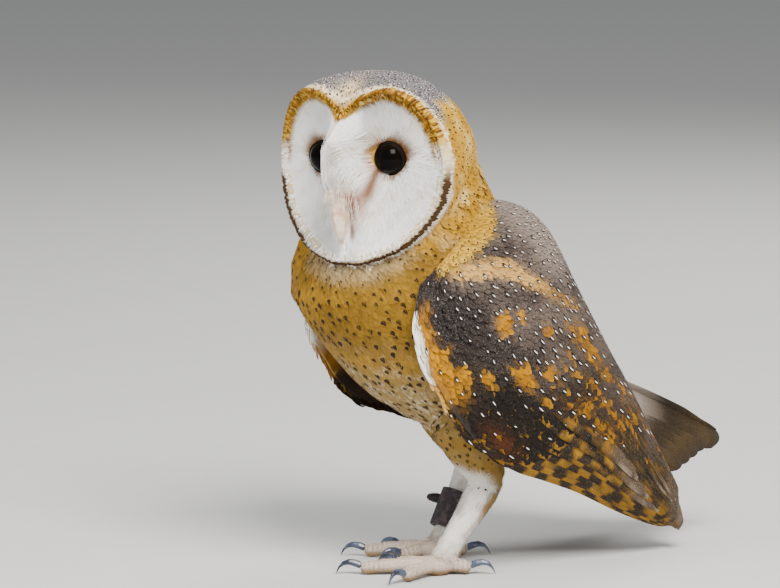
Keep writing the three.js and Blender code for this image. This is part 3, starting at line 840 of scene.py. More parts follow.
@dataclass(frozen=True)
class FlightFinish:
    """Finish of the flight and tail feathers, barred along the vane.

    The marks hold the bar phase over 20, the strength of the bars, the pepper and the droplet.
    """

    name: str = "barred flight feathers"
    wobble: float = 0.22

    def build(self) -> bpy.types.Material:
        """Makes the material."""
        material, kit, shader = new_material(self.name)
        tint = kit.add("ShaderNodeAttribute", attribute_name="tint")
        marks = kit.add("ShaderNodeAttribute", attribute_name="marks")
        channel = kit.add("ShaderNodeSeparateColor")
        kit.link(marks.outputs["Color"], channel.inputs[0])
        vane = kit.add("ShaderNodeUVMap", uv_map="Vane")
        split = kit.add("ShaderNodeSeparateXYZ")
        kit.link(vane.outputs[0], split.inputs[0])
        barbs = kit.add("ShaderNodeGroup")
        barbs.node_tree = barb_group()
        kit.link(vane.outputs[0], barbs.inputs["Vane"])
        barbs.inputs["Barbs"].default_value = 90.0
        where = kit.add("ShaderNodeTexCoord")
        rough = kit.noise(where.outputs["Object"], 230.0, 4.0)
        fine = kit.noise(where.outputs["Object"], 1500.0, 2.0)
        phase = kit.math("MULTIPLY", channel.outputs[0], 20.0)
        phase = kit.math("ADD", phase, kit.math("MULTIPLY", kit.math("SUBTRACT", rough, 0.5), self.wobble * 2))
        cycle = kit.math("FRACT", phase)
        bar = kit.math("MULTIPLY", kit.step(cycle, 0.38, 0.54), kit.step(cycle, 1.0, 0.88))
        bar = kit.math("MULTIPLY", bar, channel.outputs[1])
        shade = kit.math("ADD", kit.math("MULTIPLY", barbs.outputs["Shade"], 0.5), 0.72)
        grey = kit.add("ShaderNodeCombineColor")
        for socket in grey.inputs[:3]:
            kit.link(shade, socket)
        colour = kit.mix(bar, tint.outputs["Color"], tuple(Tone.BAR_DARK))
        colour = kit.mix(1.0, colour, grey.outputs[0], "MULTIPLY")
        pale = kit.math("MULTIPLY", kit.step(fine, 0.54, 0.64), channel.outputs[2])
        dark = kit.math("MULTIPLY", kit.step(fine, 0.45, 0.35), channel.outputs[2])
        colour = kit.mix(kit.math("MULTIPLY", pale, 0.35), colour, tuple(srgb(176, 160, 140)))
        colour = kit.mix(kit.math("MULTIPLY", dark, 0.6), colour, tuple(srgb(24, 17, 10)))
        kit.link(colour, shader.inputs["Base Color"])
        shader.inputs["Roughness"].default_value = 0.65
        shader.inputs["Specular IOR Level"].default_value = 0.2
        shader.inputs["Sheen Weight"].default_value = 0.02
        bump = kit.add("ShaderNodeBump")
        bump.inputs["Strength"].default_value = 0.3
        bump.inputs["Distance"].default_value = 0.0002
        kit.link(barbs.outputs["Height"], bump.inputs["Height"])
        kit.link(bump.outputs[0], shader.inputs["Normal"])
        return material


# ------------------------------------------------------------------------------ markings


@dataclass
class Coat:
    """What grows at each root: its colour, marks and size."""

    tint: np.ndarray
    spot: np.ndarray
    drop: np.ndarray
    pepper: np.ndarray
    length: np.ndarray
    half_width: np.ndarray

    def marks(self) -> np.ndarray:
        """The marks as an attribute."""
        return np.stack([self.spot, self.drop, self.pepper, np.ones_like(self.spot)], -1)


class Markings:
    """Colours and marks of the plumage as functions of the place on the body."""

    PATCHES = (
        (-100, 105, 7, 8), (-95, 115, 4, 3), (-79, 122, 4, 4), (-59, 140, 6, 7), (-47, 135, 5, 8),
        (-29, 135, 6, 7), (-116, 67, 7, 10), (-107, 64, 6, 6), (-97, 70, 6, 6), (-86, 77, 5, 5),
        (-74, 94, 8, 9), (-63, 107, 5, 4), (-32, 110, 5, 7), (-6, 117, 4, 6), (-9, 108, 5, 6), (0, 131, 5, 5),
        (-66, 134, 4, 4), (-38, 122, 4, 5), (-20, 122, 4, 4), (-54, 92, 4, 3),
    )

    @staticmethod
    def face(side: np.ndarray, up: np.ndarray) -> np.ndarray:
        """Colour of the facial disc at places on it."""
        reach = HEAD.rim_reach(side, up)
        t = np.hypot(side, up - HEAD.hub) / reach
        points = np.stack([side, up, 0 * side], -1)
        blot = cloud(points, 5.0, 3)
        tint = mix(Tone.DISC, srgb(226, 218, 208), 0.5 * ramp(0.45, 0.8, blot))
        for sign in (1.0, -1.0):
            x = (side * sign - EYE["side"]) / 1.0
            y = up - EYE["up"]
            d = np.hypot(x, y * 1.05)
            outer = 11.0 + 8.0 * ramp(-2, 7, x) * ramp(-4, 3, y)
            ring = ramp(outer, 9.2, d + 2.4 * (blot - 0.5)) * ramp(-3.0, 2.0, y + 0.3 * x)
            tint = mix(tint, mix(Tone.FACE_OCHRE, srgb(112, 70, 8), ramp(-4, 5, x)), 0.95 * ring)
            tint = mix(tint, srgb(166, 104, 50), 0.6 * ramp(10.0, 8.7, d) * ramp(2.0, -3.0, y + 0.3 * x))
            tear = np.exp(-(((x + 5.2 - 0.32 * (y + 7)) / (1.9 + 0.9 * ramp(-6, -20, y))) ** 2)) * ramp(-28, -18, y) * ramp(-2, -7, y)
            tint = mix(tint, Tone.FACE_TEAR, 0.95 * tear)
        crest = np.exp(-((side / 3.0) ** 2)) * ramp(-10, 6, up) * (1 - ramp(22, 30, up))
        tint = mix(tint, srgb(206, 196, 190), 0.55 * crest)
        flush = np.exp(-(((np.abs(side) - 4.6) / 3.8) ** 2)) * ramp(-29, -21, up) * (1 - ramp(-14, -8, up))
        tint = mix(tint, srgb(204, 120, 86), 0.85 * flush)
        # Painted shade: a brown line down each side of the bill, standing in for the shade in the gap between the bill
        # and the feathers.
        bill_gap_shade = np.exp(-(((np.abs(side) - 3.6) / 1.3) ** 2)) * ramp(-40, -34, up) * (1 - ramp(-17, -13, up))
        tint = mix(tint, srgb(122, 84, 62), 0.85 * bill_gap_shade)
        edge = ramp(0.86, 0.97, t) * ramp(0.42, 0.62, cloud(points, 1.6, 5))
        tint = mix(tint, srgb(176, 168, 158), 0.4 * edge)
        inward = (1 - t) * reach
        band = ramp(4, 12, up + 0.12 * np.abs(side)) * ramp(6.6, 5.2, inward + 1.2 * (blot - 0.5))
        grain = cloud(points, 0.9, 6)
        gold = mix(Tone.ORANGE, Tone.GOLD, ramp(0.35, 0.65, cloud(points, 2.4, 8)))
        gold = mix(gold, srgb(50, 33, 12), 0.75 * ramp(0.60, 0.68, grain) * ramp(0.4, 1.4, inward))
        return mix(tint, gold, band)

    @staticmethod
    def rim_distance(points: np.ndarray) -> tuple[np.ndarray, np.ndarray]:
        """Distance to the disc's rim and the rim's height there, for points of the owl's frame."""
        rim = HEAD.rim_points(300)
        curve = HEAD.place(rim[:, 0], rim[:, 1], HEAD.face_ahead(rim[:, 0], rim[:, 1], 1.0))
        gap = np.linalg.norm(points[:, None] - curve[None], axis=-1)
        nearest = gap.argmin(1)
        return gap[np.arange(len(points)), nearest], rim[nearest, 1]

    @classmethod
    def head(cls, points: np.ndarray, seed: int = 1) -> Coat:
        """Crown, brow, sides and nape."""
        side, up, ahead = HEAD.locate(points)
        q, rim_up = cls.rim_distance(points)
        blot = cloud(points, 9.0, seed)
        fine = cloud(points, 2.5, seed + 1)
        tint = mix(Tone.GOLD, Tone.DEEP_GOLD, ramp(0.3, 0.75, blot + 0.4 * ramp(0, -40, up)))
        tint = mix(tint, Tone.CREAM, 0.3 * ramp(0.5, 0.85, 1 - blot))
        low = ramp(0, -22, rim_up)
        tint = mix(tint, srgb(244, 236, 220), (0.85 * ramp(5.5, 2, q) * (1 - low) + ramp(10, 4, q) * low))
        over = up + 0.35 * np.minimum(ahead + 10, 0) + 2.0 * (fine - 0.5) + 7 * (blot - 0.5) * ramp(-5, -25, ahead)
        crown = np.maximum(ramp(31, 36, over), ramp(18, 26, over) * ramp(14, 9, q)) * ramp(47, 40, np.abs(side))
        nape = ramp(27, 12, np.abs(side) + 14 * (blot - 0.5) + 9 * ramp(10, -25, up)) * ramp(-6, -20, ahead)
        grey = np.maximum(crown, 0.9 * nape)
        forehead = np.exp(-((side / 6.0) ** 2) - ((up - 38) / 5.0) ** 2) * ramp(0, 15, ahead)
        grey = grey * (1 - 0.9 * forehead)
        tint = mix(tint, Tone.ASH, grey)
        brow = ramp(6, 14, rim_up)
        line = brow * ramp(5.2, 4.2, q) * ramp(1.6, 2.6, q)
        tint = mix(tint, mix(Tone.ORANGE, Tone.GOLD, ramp(0.3, 0.7, fine)), brow * ramp(2.6, 1.6, q))
        tint = mix(tint, Tone.CREAM, np.maximum(line, 0.6 * forehead))
        rest = (1 - grey) * (1 - line)
        dotted = rest * ramp(6, 10, q) * ramp(10, 17, q + 12 * (rim_up > -20))
        zeros = np.zeros(len(points))
        small = low * ramp(18, 7, q)
        return Coat(
            tint, np.maximum(dotted, 0.6 * grey), grey * ramp(3.5, 6.5, q), 1.0 * grey + 0.06,
            5.2 - 1.2 * grey - 1.6 * small, 1.2 - 0.45 * small + zeros,
        )

    @staticmethod
    def breast(points: np.ndarray) -> Coat:
        """Throat, breast, belly and flanks."""
        x, y, z = points.T
        blot = cloud(points, 16.0, 7)
        fine = cloud(points, 3.0, 9)
        gold = ramp(104, 140, z + 16 * (blot - 0.5))
        tint = mix(Tone.BELLY, mix(Tone.BREAST, Tone.DEEP_GOLD, ramp(0.35, 0.85, blot)), 0.95 * gold)
        tint = mix(tint, srgb(236, 220, 196), 0.5 * ramp(0.5, 0.75, fine) * (1 - gold))
        zeros = np.zeros(len(points))
        collar = Markings.head(points)
        q, _ = Markings.rim_distance(points)
        near = np.maximum(ramp(178, 184, z - 0.1 * x + 4 * (fine - 0.5)), ramp(7, 2, q + 4 * (fine - 0.5)))
        near = near * ramp(46, 30, y + 0.5 * (190 - z))
        tint = mix(tint, collar.tint, near)
        tint = mix(tint, Tone.CREAM, 0.25 * ramp(14, 6, q) * (1 - near))
        s, h = WING.locate(points)
        back = np.maximum(ramp(158, 166, h + 4 * (fine - 0.5)) * ramp(-12, 2, y), ramp(22, 36, y) * ramp(110, 130, z)) * (1 - near)
        tint = mix(tint, Tone.MANTLE, back)
        spot = (1 - near * (1 - collar.spot)) * (1 - back) * ramp(0.22, 0.5, cloud(points, 7.0, 33))
        small = np.maximum(near, ramp(20, 9, q))
        return Coat(tint, spot, back, 0.05 + 0.6 * back, 8.5 - 4.5 * small, 1.8 - 1.0 * small)

    @classmethod
    def wing(cls, t: np.ndarray, v: np.ndarray, s: np.ndarray, h: np.ndarray) -> Coat:
        """Coverts, scapulars and mantle; s runs along the falling line and h over it."""
        place = np.stack([s, h, 0 * s], -1)
        blot = cloud(place, 10.0, 11)
        mid = cloud(place, 5.0, 12)
        fine = cloud(place, 2.2, 13)
        tint = mix(Tone.MANTLE, Tone.SMOKE, ramp(0.35, 0.75, blot + 0.35 * ramp(110, 84, h)))
        dark = np.exp(-(((s + 122) / 16.0) ** 2) - ((h - 84) / 16.0) ** 2)
        tint = mix(tint, srgb(26, 21, 22), 0.85 * dark)
        upper = ramp(138, 156, h) * ramp(-70, -100, s) * ramp(0.1, 0.5, blot)
        tint = mix(tint, srgb(138, 124, 114), 0.85 * upper)
        warm = ramp(-128, -92, s) * ramp(96, 60, h) + 0.9 * ramp(-78, -40, s) * ramp(165, 110, h)
        tint = mix(tint, Tone.UMBER, np.clip(warm, 0, 1) * 0.9)
        knots = np.array([(-136, 108), (-128, 120), (-117, 127), (-104, 132), (-90, 138), (-76, 146), (-64, 151)], float)
        gap = np.min(np.stack([cls.to_line(s, h, a, b) for a, b in zip(knots[:-1], knots[1:])]), 0)
        gap = gap + 5 * (mid - 0.5) + 0.8 + 3.6 * ramp(-116, -76, s)
        band = ramp(7.5, 3.0, gap) * ramp(0.15, 0.4, cloud(place, 1.2, 14) + ramp(6.5, 2.5, gap))
        tint = mix(tint, mix(Tone.BAND, Tone.PATCH, ramp(-104, -76, s)), 0.9 * band)
        patch = np.zeros(len(s))
        ragged = cloud(np.stack([s / 5.0, h / 1.7, 0 * s], -1), 1.0, 16)
        for cs, ch, ds, dh in cls.PATCHES:
            reach = np.hypot((s - cs) / (ds * 0.88), (h - ch) / (dh * 0.64))
            patch = np.maximum(patch, ramp(1.3, 0.75, reach + 0.6 * (fine - 0.5) + 0.8 * (ragged - 0.5)))
        streak = cloud(np.stack([s / 9.0, h / 2.3, 0 * s], -1), 1.0, 15)
        streak = ramp(0.62, 0.68, streak) * ramp(-72, -52, s) * ramp(92, 102, h) * ramp(154, 140, h)
        patch = np.maximum(patch, 0.95 * streak) * (1 - band)
        gold = mix(Tone.PATCH, Tone.ORANGE, ramp(0.35, 0.75, mid + 0.5 * (ragged - 0.5)))
        gold = mix(gold, gold * 0.7, ramp(-70, -30, s))
        tint = mix(tint, gold, 0.95 * patch)
        black = ramp(-88, -76, s) * ramp(-4, -16, s) * ramp(94, 84, h - 0.16 * (s + 60)) * ramp(0.0, 0.03, v)
        tint = mix(tint, Tone.BLACK_BROWN, 0.94 * black * (1 - 0.6 * patch))
        red = np.exp(-(((s + 58) / 12.0) ** 2) - ((h - 60) / 5.0) ** 2)
        tint = mix(tint, srgb(84, 40, 8), 0.7 * red)
        rim = ramp(0.095, 0.05, v + 0.06 * (mid - 0.5)) * ramp(0.36, 0.27, t) * ramp(0.03, 0.08, t)
        tint = mix(tint, gold, 0.9 * rim * ramp(0.3, 0.45, ragged + 0.25))
        width = np.interp(t, (0.04, 0.10, 0.20, 0.24, 0.36), (0.010, 0.030, 0.018, 0.006, 0.003))
        edge = ramp(1.15, 0.85, v / width) * ramp(0.045, 0.06, t) * ramp(0.35, 0.31, t)
        tint = mix(tint, mix(srgb(248, 245, 238), Tone.BAND, ramp(0.19, 0.23, t)), edge)
        limit = np.interp(v, (0.10, 0.25, 0.38, 0.54, 0.685, 0.92), (0.0, 0.045, 0.062, 0.080, 0.064, 0.040))
        bulge = ramp(limit + 0.012, limit - 0.010, t + 0.02 * (fine - 0.5)) * ramp(0.12, 0.18, v)
        tint = mix(tint, mix(Tone.DEEP_GOLD, Tone.GOLD, ramp(0.2, 0.6, blot)), bulge)
        plain = (1 - np.maximum(np.maximum(edge, patch), 0.25 * band)) * (1 - bulge)
        dusky = np.clip(np.maximum(warm, black) + rim, 0, 1)
        grown = ramp(0.15, 0.7, t)
        return Coat(
            tint, 0.9 * bulge, plain, 0.6 * plain * (1 - 0.75 * dusky) + 0.3 * band,
            6.0 + 6.5 * grown - 1.8 * bulge,
            (1.6 + 2.2 * grown - 0.5 * bulge) * (0.45 + 0.55 * ramp(0.0, 0.06, v)),
        )

    @staticmethod
    def to_line(s: np.ndarray, h: np.ndarray, a: tuple[float, float], b: tuple[float, float]) -> np.ndarray:
        """Distance from places (s, h) to a straight line between two of them."""
        run = np.subtract(b, a)
        share = np.clip(((s - a[0]) * run[0] + (h - a[1]) * run[1]) / (run @ run), 0, 1)
        return np.hypot(s - a[0] - share * run[0], h - a[1] - share * run[1])

    @staticmethod
    def thigh(points: np.ndarray) -> Coat:
        """Feathered thighs."""
        blot = cloud(points, 9.0, 21)
        tint = mix(Tone.THIGH, Tone.BELLY, ramp(0.3, 0.7, blot))
        back = points[:, 1] - np.where(points[:, 0] > 0, 22, 38)
        white = ramp(62, 55, points[:, 2] + np.maximum(0.5 * back, 1.3 * back) + 7.0 + 5 * (blot - 0.5))
        tint = mix(tint, Tone.SHANK, white)
        zeros = np.zeros(len(points))
        return Coat(tint, 1.0 - 0.25 * white, zeros, zeros, 6.0 - 2.5 * ramp(68, 56, points[:, 2]), 1.3 + zeros)

    @staticmethod
    def shank(points: np.ndarray) -> Coat:
        """Bristly feathering of the shanks."""
        blot = cloud(points, 4.0, 23)
        tint = mix(Tone.SHANK, srgb(188, 176, 168), 0.7 * ramp(0.45, 0.75, blot))
        share = (points[:, 2] - 5) / 45
        axis = np.where(points[:, 0] > 0, -8 + 33 * share, 15 + 27 * share)
        heel = ramp(27, 38, points[:, 2]) * ramp(-1.5, 3.5, points[:, 1] - axis + 3 * (blot - 0.5))
        tint = mix(tint, Tone.THIGH, 0.95 * heel)
        low = ramp(24, 10, points[:, 2])
        tint = mix(tint, Tone.TOE, 0.7 * low)
        zeros = np.zeros(len(points))
        return Coat(tint, 0.5 * heel + 0.35 * ramp(34, 44, points[:, 2]), zeros, zeros, 5.2 - 2.2 * low, 0.45 + zeros)


# ------------------------------------------------------------------------------ skin


@dataclass
class Skin:
    """One closed skin over the head, body, arms, legs and feet, inside them by the coat's depth."""

    flesh: tuple[str, ...] = (
        "neck", "trunk", "left_wing", "right_wing", "left_thigh", "right_thigh", "left_tarsus", "right_tarsus",
        "left_foot", "right_foot", "left_toe_middle", "left_toe_outer", "left_toe_inner", "left_toe_hind",
        "right_toe_middle", "right_toe_outer", "right_toe_inner", "right_toe_hind",
    )
    voxel: float = 0.95
    depth_body: float = 2.3
    depth_face: float = 0.8
    depth_leg: float = 1.3
    budget: int = 150000
    piece: bpy.types.Object | None = None
    points: np.ndarray = field(default_factory=lambda: np.zeros((0, 3)))
    faces: np.ndarray = field(default_factory=lambda: np.zeros((0, 3), int))
    labels: np.ndarray = field(default_factory=lambda: np.zeros(0, int))
    tree: BVHTree | None = None
    names: list[str] = field(default_factory=list)
    wings: list[BVHTree] = field(default_factory=list)
    tuck: float = 12.0

    def build(self, material: bpy.types.Material) -> bpy.types.Object:
        """Joins the flesh, remeshes it, draws it in and colours it.

        Args:
            material: Finish of the skin.

        Returns:
            The skin object.
        """
        points, faces = HEAD.grid(120, 30, 40)
        head = make_mesh("head_form", points, faces, material)
        owners = self._owners(head)
        bpy.context.view_layer.objects.active = head
        copies = [self._copy(name) for name in self.flesh]
        mesh = self._joined([head] + copies)
        skin = bpy.data.objects.new("skin", mesh)
        bpy.context.scene.collection.objects.link(skin)
        for form in [head] + copies:
            bpy.data.objects.remove(form)
        remesh = skin.modifiers.new("remesh", "REMESH")
        remesh.mode = "VOXEL"
        remesh.voxel_size = self.voxel * MM * (1.0 if FINE else 1.8)
        soften = skin.modifiers.new("soften", "SMOOTH")
        soften.factor, soften.iterations = 0.5, 6
        bake_modifiers(skin)
        self._draw_in(skin, owners)
        tidy = skin.modifiers.new("tidy", "DECIMATE")
        tidy.ratio = min(1.0, self.budget / max(1, 2 * len(skin.data.polygons)))
        shape = skin.modifiers.new("three corners", "TRIANGULATE")
        shape.min_vertices = 4
        bake_modifiers(skin)
        skin.data.materials.clear()
        skin.data.materials.append(material)
        self._read(skin, owners)
        self._paint(skin)
        self.piece = skin
        return skin

    def _copy(self, name: str) -> bpy.types.Object:
        """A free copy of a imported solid."""
        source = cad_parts[name]
        copy = bpy.data.objects.new("copy_of_" + name, source.data.copy())
        bpy.context.scene.collection.objects.link(copy)
        return copy

    @staticmethod
    def _joined(forms: list[bpy.types.Object]) -> bpy.types.Mesh:
        """One mesh of several objects' meshes."""
        points, faces, start = [], [], 0
        for form in forms:
            mesh = form.data
            mesh.calc_loop_triangles()
            co = np.empty(len(mesh.vertices) * 3, np.float32)
            mesh.vertices.foreach_get("co", co)
            tri = np.empty(len(mesh.loop_triangles) * 3, np.int32)
            mesh.loop_triangles.foreach_get("vertices", tri)
            points.append(co.reshape(-1, 3))
            faces.append(tri.reshape(-1, 3) + start)
            start += len(mesh.vertices)
        joined = bpy.data.meshes.new("skin")
        joined.from_pydata(np.concatenate(points).tolist(), [], np.concatenate(faces).tolist())
        return joined

    def _owners(self, head: bpy.types.Object) -> list[tuple[str, BVHTree]]:
        """Search trees of the solids, which tell what part a point belongs to."""
        trees = []
        for name in ("head",) + self.flesh:
            mesh = head.data if name == "head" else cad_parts[name].data
            co = [PLACE.to_owl(np.array(v.co)) for v in mesh.vertices]
            trees.append((name, BVHTree.FromPolygons([tuple(p) for p in co], [tuple(f.vertices) for f in mesh.polygons])))
        return trees

    def _label(self, points: np.ndarray, owners: list[tuple[str, BVHTree]]) -> np.ndarray:
        """Index of the solid nearest to each point."""
        best = np.full(len(points), 1e9)
        label = np.zeros(len(points), int)
        for k, (name, tree) in enumerate(owners):
            low, high = self._reach(name)
            near = np.all((points > low - 8) & (points < high + 8), axis=1)
            for i in np.nonzero(near)[0]:
                distance = tree.find_nearest(Vector(points[i]))[3]
                if distance is not None and distance < best[i] - 1e-4:
                    best[i], label[i] = distance, k
        return label

    @staticmethod
    def _reach(name: str) -> tuple[np.ndarray, np.ndarray]:
        """Box of a solid in the owl's frame."""
        low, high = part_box(name)
        return PLACE.to_owl(np.array(low)), PLACE.to_owl(np.array(high))

    def _draw_in(self, skin: bpy.types.Object, owners: list[tuple[str, BVHTree]]) -> None:
        """Moves the skin inwards by the depth of the coat that covers it."""
        mesh = skin.data
        count = len(mesh.vertices)
        co, normal = np.empty(count * 3, np.float32), np.empty(count * 3, np.float32)
        mesh.vertices.foreach_get("co", co)
        mesh.vertices.foreach_get("normal", normal)
        points = PLACE.to_owl(co.reshape(-1, 3))
        side, up, ahead = HEAD.locate(points)
        t = np.hypot(side, up - HEAD.hub) / HEAD.rim_reach(side, up)
        face = ramp(1.06, 0.98, t) * ramp(8, 14, ahead) * (points[:, 2] > 165)
        leg = ramp(92, 78, points[:, 2]) * (np.abs(points[:, 1] - 15) < 60)
        bare = ramp(16, 9, points[:, 2])
        depth = self.depth_body * (1 - face) + self.depth_face * face
        depth = depth * (1 - leg) + self.depth_leg * leg
        depth = depth * (1 - bare)
        moved = points - normal.reshape(-1, 3) * depth[:, None]
        mesh.vertices.foreach_set("co", PLACE.to_row(moved).astype(np.float32).ravel())
        mesh.update()

    def _read(self, skin: bpy.types.Object, owners: list[tuple[str, BVHTree]]) -> None:
        """Keeps the finished skin's points, faces, labels and search tree."""
        mesh = skin.data
        co = np.empty(len(mesh.vertices) * 3, np.float32)
        mesh.vertices.foreach_get("co", co)
        self.points = PLACE.to_owl(co.reshape(-1, 3))
        tri = np.empty(len(mesh.polygons) * 3, np.int32)
        mesh.polygons.foreach_get("vertices", tri)
        self.faces = tri.reshape(-1, 3)
        mesh.polygons.foreach_set("use_smooth", np.ones(len(mesh.polygons), bool))
        self.names = [name for name, _ in owners]
        self.wings = [tree for name, tree in owners if name.endswith("_wing")]
        self.labels = self._label(self.points, owners)
        self.tree = BVHTree.FromPolygons(self.points.tolist(), self.faces.tolist())

    def _paint(self, skin: bpy.types.Object) -> None:
        """Gives the skin the same markings as the coat over it."""
        tint = np.tile(Tone.TOE, (len(self.points), 1))
        for region in (Region.HEAD, Region.BODY, Region.LEFT_WING, Region.RIGHT_WING, Region.THIGHS, Region.SHANKS):
            mask = self.mask(region)
            if mask.any():
                tint[mask] = coat_of(region, self.points[mask]).tint * 0.85
        side, up, ahead = HEAD.locate(self.points)
        on_face = self.mask(Region.HEAD) & (ahead > HEAD.face_ahead(side, up, 0.9) - 6)
        on_face &= np.hypot(side, up - HEAD.hub) < HEAD.rim_reach(side, up)
        tint[on_face] = Markings.face(side[on_face], up[on_face])
        bare = self.mask(Region.TOES).astype(float)
        z = self.points[:, 2]
        tint[self.mask(Region.TOES)] = mix(Tone.PAD, Tone.TOE, ramp(1.5, 5.0, z[self.mask(Region.TOES)]))
        for k, name in enumerate(self.names):
            if "_toe_" in name:
                own = self.labels == k
                tint[own] *= self._scutes(name, self.points[own])[:, None]
        marks = np.stack([bare] * 3, -1)
        for key, values in (("tint", tint), ("marks", marks)):
            rgba = np.ones((len(tint), 4), np.float32)
            rgba[:, :3] = values
            skin.data.attributes.new(key, "FLOAT_COLOR", "POINT").data.foreach_set("color", rgba.ravel())

    def _scutes(self, name: str, points: np.ndarray) -> np.ndarray:
        """Shade of the furrows between the plates on top of a toe, near its claw."""
        claw, foot = (
            np.mean(self._reach(other), axis=0)
            for other in (name.replace("toe", "claw"), name.split("_toe_")[0] + "_foot")
        )
        run = unit((claw - foot) * np.array([1.0, 1.0, 0.0]))
        back = (claw - points) @ run
        furrow = ramp(0.30, 0.46, np.abs((back / 2.6) % 1.0 - 0.5))
        return 1 - 0.5 * furrow * ramp(21, 16, back) * ramp(2.6, 4.0, points[:, 2])

    def mask(self, region: "Region") -> np.ndarray:
        """Which of the skin's points lie in a region."""
        wanted = [k for k, name in enumerate(self.names) if region.holds(name)]
        return np.isin(self.labels, wanted)

    def scatter(self, region: "Region", spacing: float, seed: int) -> tuple[np.ndarray, np.ndarray]:
        """Roots spread evenly at random over a region.

        Args:
            region: Where to put them.
            spacing: Typical distance between neighbours.
            seed: Picks the arrangement.

        Returns:
            Points and outward directions, (n, 3) each.
        """
        inside = self.mask(region)[self.faces].all(axis=1)
        corners = self.points[self.faces[inside]]
        cross = np.cross(corners[:, 1] - corners[:, 0], corners[:, 2] - corners[:, 0])
        area = np.linalg.norm(cross, axis=1) / 2
        spacing = spacing * (1.0 if FINE else 1.6)
        rng = np.random.default_rng(seed)
        count = int(area.sum() / spacing**2 * 4)
        pick = rng.choice(len(area), count, p=area / area.sum())
        a, b = rng.random(count), rng.random(count)
        flip = a + b > 1
        a[flip], b[flip] = 1 - a[flip], 1 - b[flip]
        c = corners[pick]
        points = c[:, 0] + a[:, None] * (c[:, 1] - c[:, 0]) + b[:, None] * (c[:, 2] - c[:, 0])
        cell = np.floor(points / spacing + rng.random(3)).astype(np.int64)
        key = cell @ np.array([73856093, 19349663, 83492791])
        kept = np.unique(key, return_index=True)[1]
        return points[kept], unit(cross[pick][kept])

    def under_wing(self, points: np.ndarray, normals: np.ndarray) -> np.ndarray:
        """Which points have a wing close over them."""
        return np.array([
            any(wing.ray_cast(Vector(p + 0.5 * n), Vector(n), self.tuck)[0] is not None for wing in self.wings)
            for p, n in zip(points, normals)
        ], bool)

    def drape(self, points: np.ndarray) -> tuple[np.ndarray, np.ndarray]:
        """Nearest points of the skin and its outward directions there."""
        found, normals = np.empty_like(points), np.empty_like(points)
        nearest = self.tree.find_nearest
        for i, p in enumerate(points.tolist()):
            hit, normal, _, _ = nearest(p)
            found[i], normals[i] = hit, normal
        return found, normals


class Region(Enum):
    """Regions of the skin, by the solids under them."""

    HEAD = ("head",)
    BODY = ("neck", "trunk")
    LEFT_WING = ("left_wing",)
    RIGHT_WING = ("right_wing",)
    THIGHS = ("left_thigh", "right_thigh")
    SHANKS = ("left_tarsus", "right_tarsus")
    TOES = ("foot", "toe")

    def holds(self, node: str) -> bool:
        """True if a solid belongs to the region."""
        if self is Region.TOES:
            return "foot" in node or "toe" in node
        return node in self.value


def wing_place(points: np.ndarray, sign: float) -> tuple[np.ndarray, np.ndarray, np.ndarray, np.ndarray]:
    """Place on a wing (t, v, s, h) of points of the owl's frame; sign is 1 for the left wing."""
    local = points if sign > 0 else WING.to_left(points)
    s, h = WING.locate(local)
    t = np.interp(s, WING.at, np.linspace(0, 1, len(WING.at)))
    low, high, inner, outer = (along(k, t) for k in (WING.low, WING.high, WING.inner, WING.outer))
    waist = low + (high - low) * 0.42
    rise = np.where(h > waist, high - waist, (waist - low) / math.sin(WING.tuck))
    angle = np.arctan2((h - waist) / rise, np.maximum(local[:, 0] - inner, 0.1) / (outer - inner))
    v = np.clip((angle + WING.tuck) / (math.pi / 2 + WING.tuck), 0, 1)
    return t, v, s, h


def coat_of(region: Region, points: np.ndarray) -> Coat:
    """The coat that grows at points of a region."""
    if region is Region.HEAD:
        return Markings.head(points)
    if region is Region.BODY:
        return Markings.breast(points)
    if region in (Region.LEFT_WING, Region.RIGHT_WING):
        return Markings.wing(*wing_place(points, 1.0 if region is Region.LEFT_WING else -1.0))
    if region is Region.THIGHS:
        return Markings.thigh(points)
    return Markings.shank(points)


# ------------------------------------------------------------------------------ plumage

PLUME = (0.42, 0.88, 1.0, 0.92, 0.5)
SOFT_PLUME = (0.5, 0.95, 1.0, 0.7)
HAIR = (1.0, 0.75, 0.45, 0.08)


def lie_of(region: Region, points: np.ndarray) -> np.ndarray:
    """Direction in which the coat lies, before it is turned into the surface.

    Args:
        region: Region of the skin.
        points: Roots.

    Returns:
        Directions, (n, 3).
    """
    if region is Region.HEAD:
        left, upward, ahead = HEAD.axes()
        side, up, forward = HEAD.locate(points)
        down = 0.15 + 0.9 * ramp(38, -10, up) + 0.6 * ramp(-20, -40, forward)
        radial = np.stack([side, up - HEAD.hub], -1)
        radial = radial / np.maximum(np.linalg.norm(radial, axis=1, keepdims=True), 1e-6)
        near = ramp(0, 18, forward)[:, None]
        out = (radial[:, :1] * left + radial[:, 1:] * upward) * near
        return unit(-ahead - down[:, None] * upward + 0.9 * out)
    if region is Region.THIGHS:
        return np.tile(unit(np.array([0.0, 0.45, -0.9])), (len(points), 1))
    if region is Region.SHANKS:
        return np.tile(unit(np.array([0.0, -0.5, -0.85])), (len(points), 1))
    fall = WING.lines()[0]
    lower = ramp(120, 60, points[:, 2])[:, None]
    return unit(fall + lower * np.array([0.0, 0.25, -0.1]))


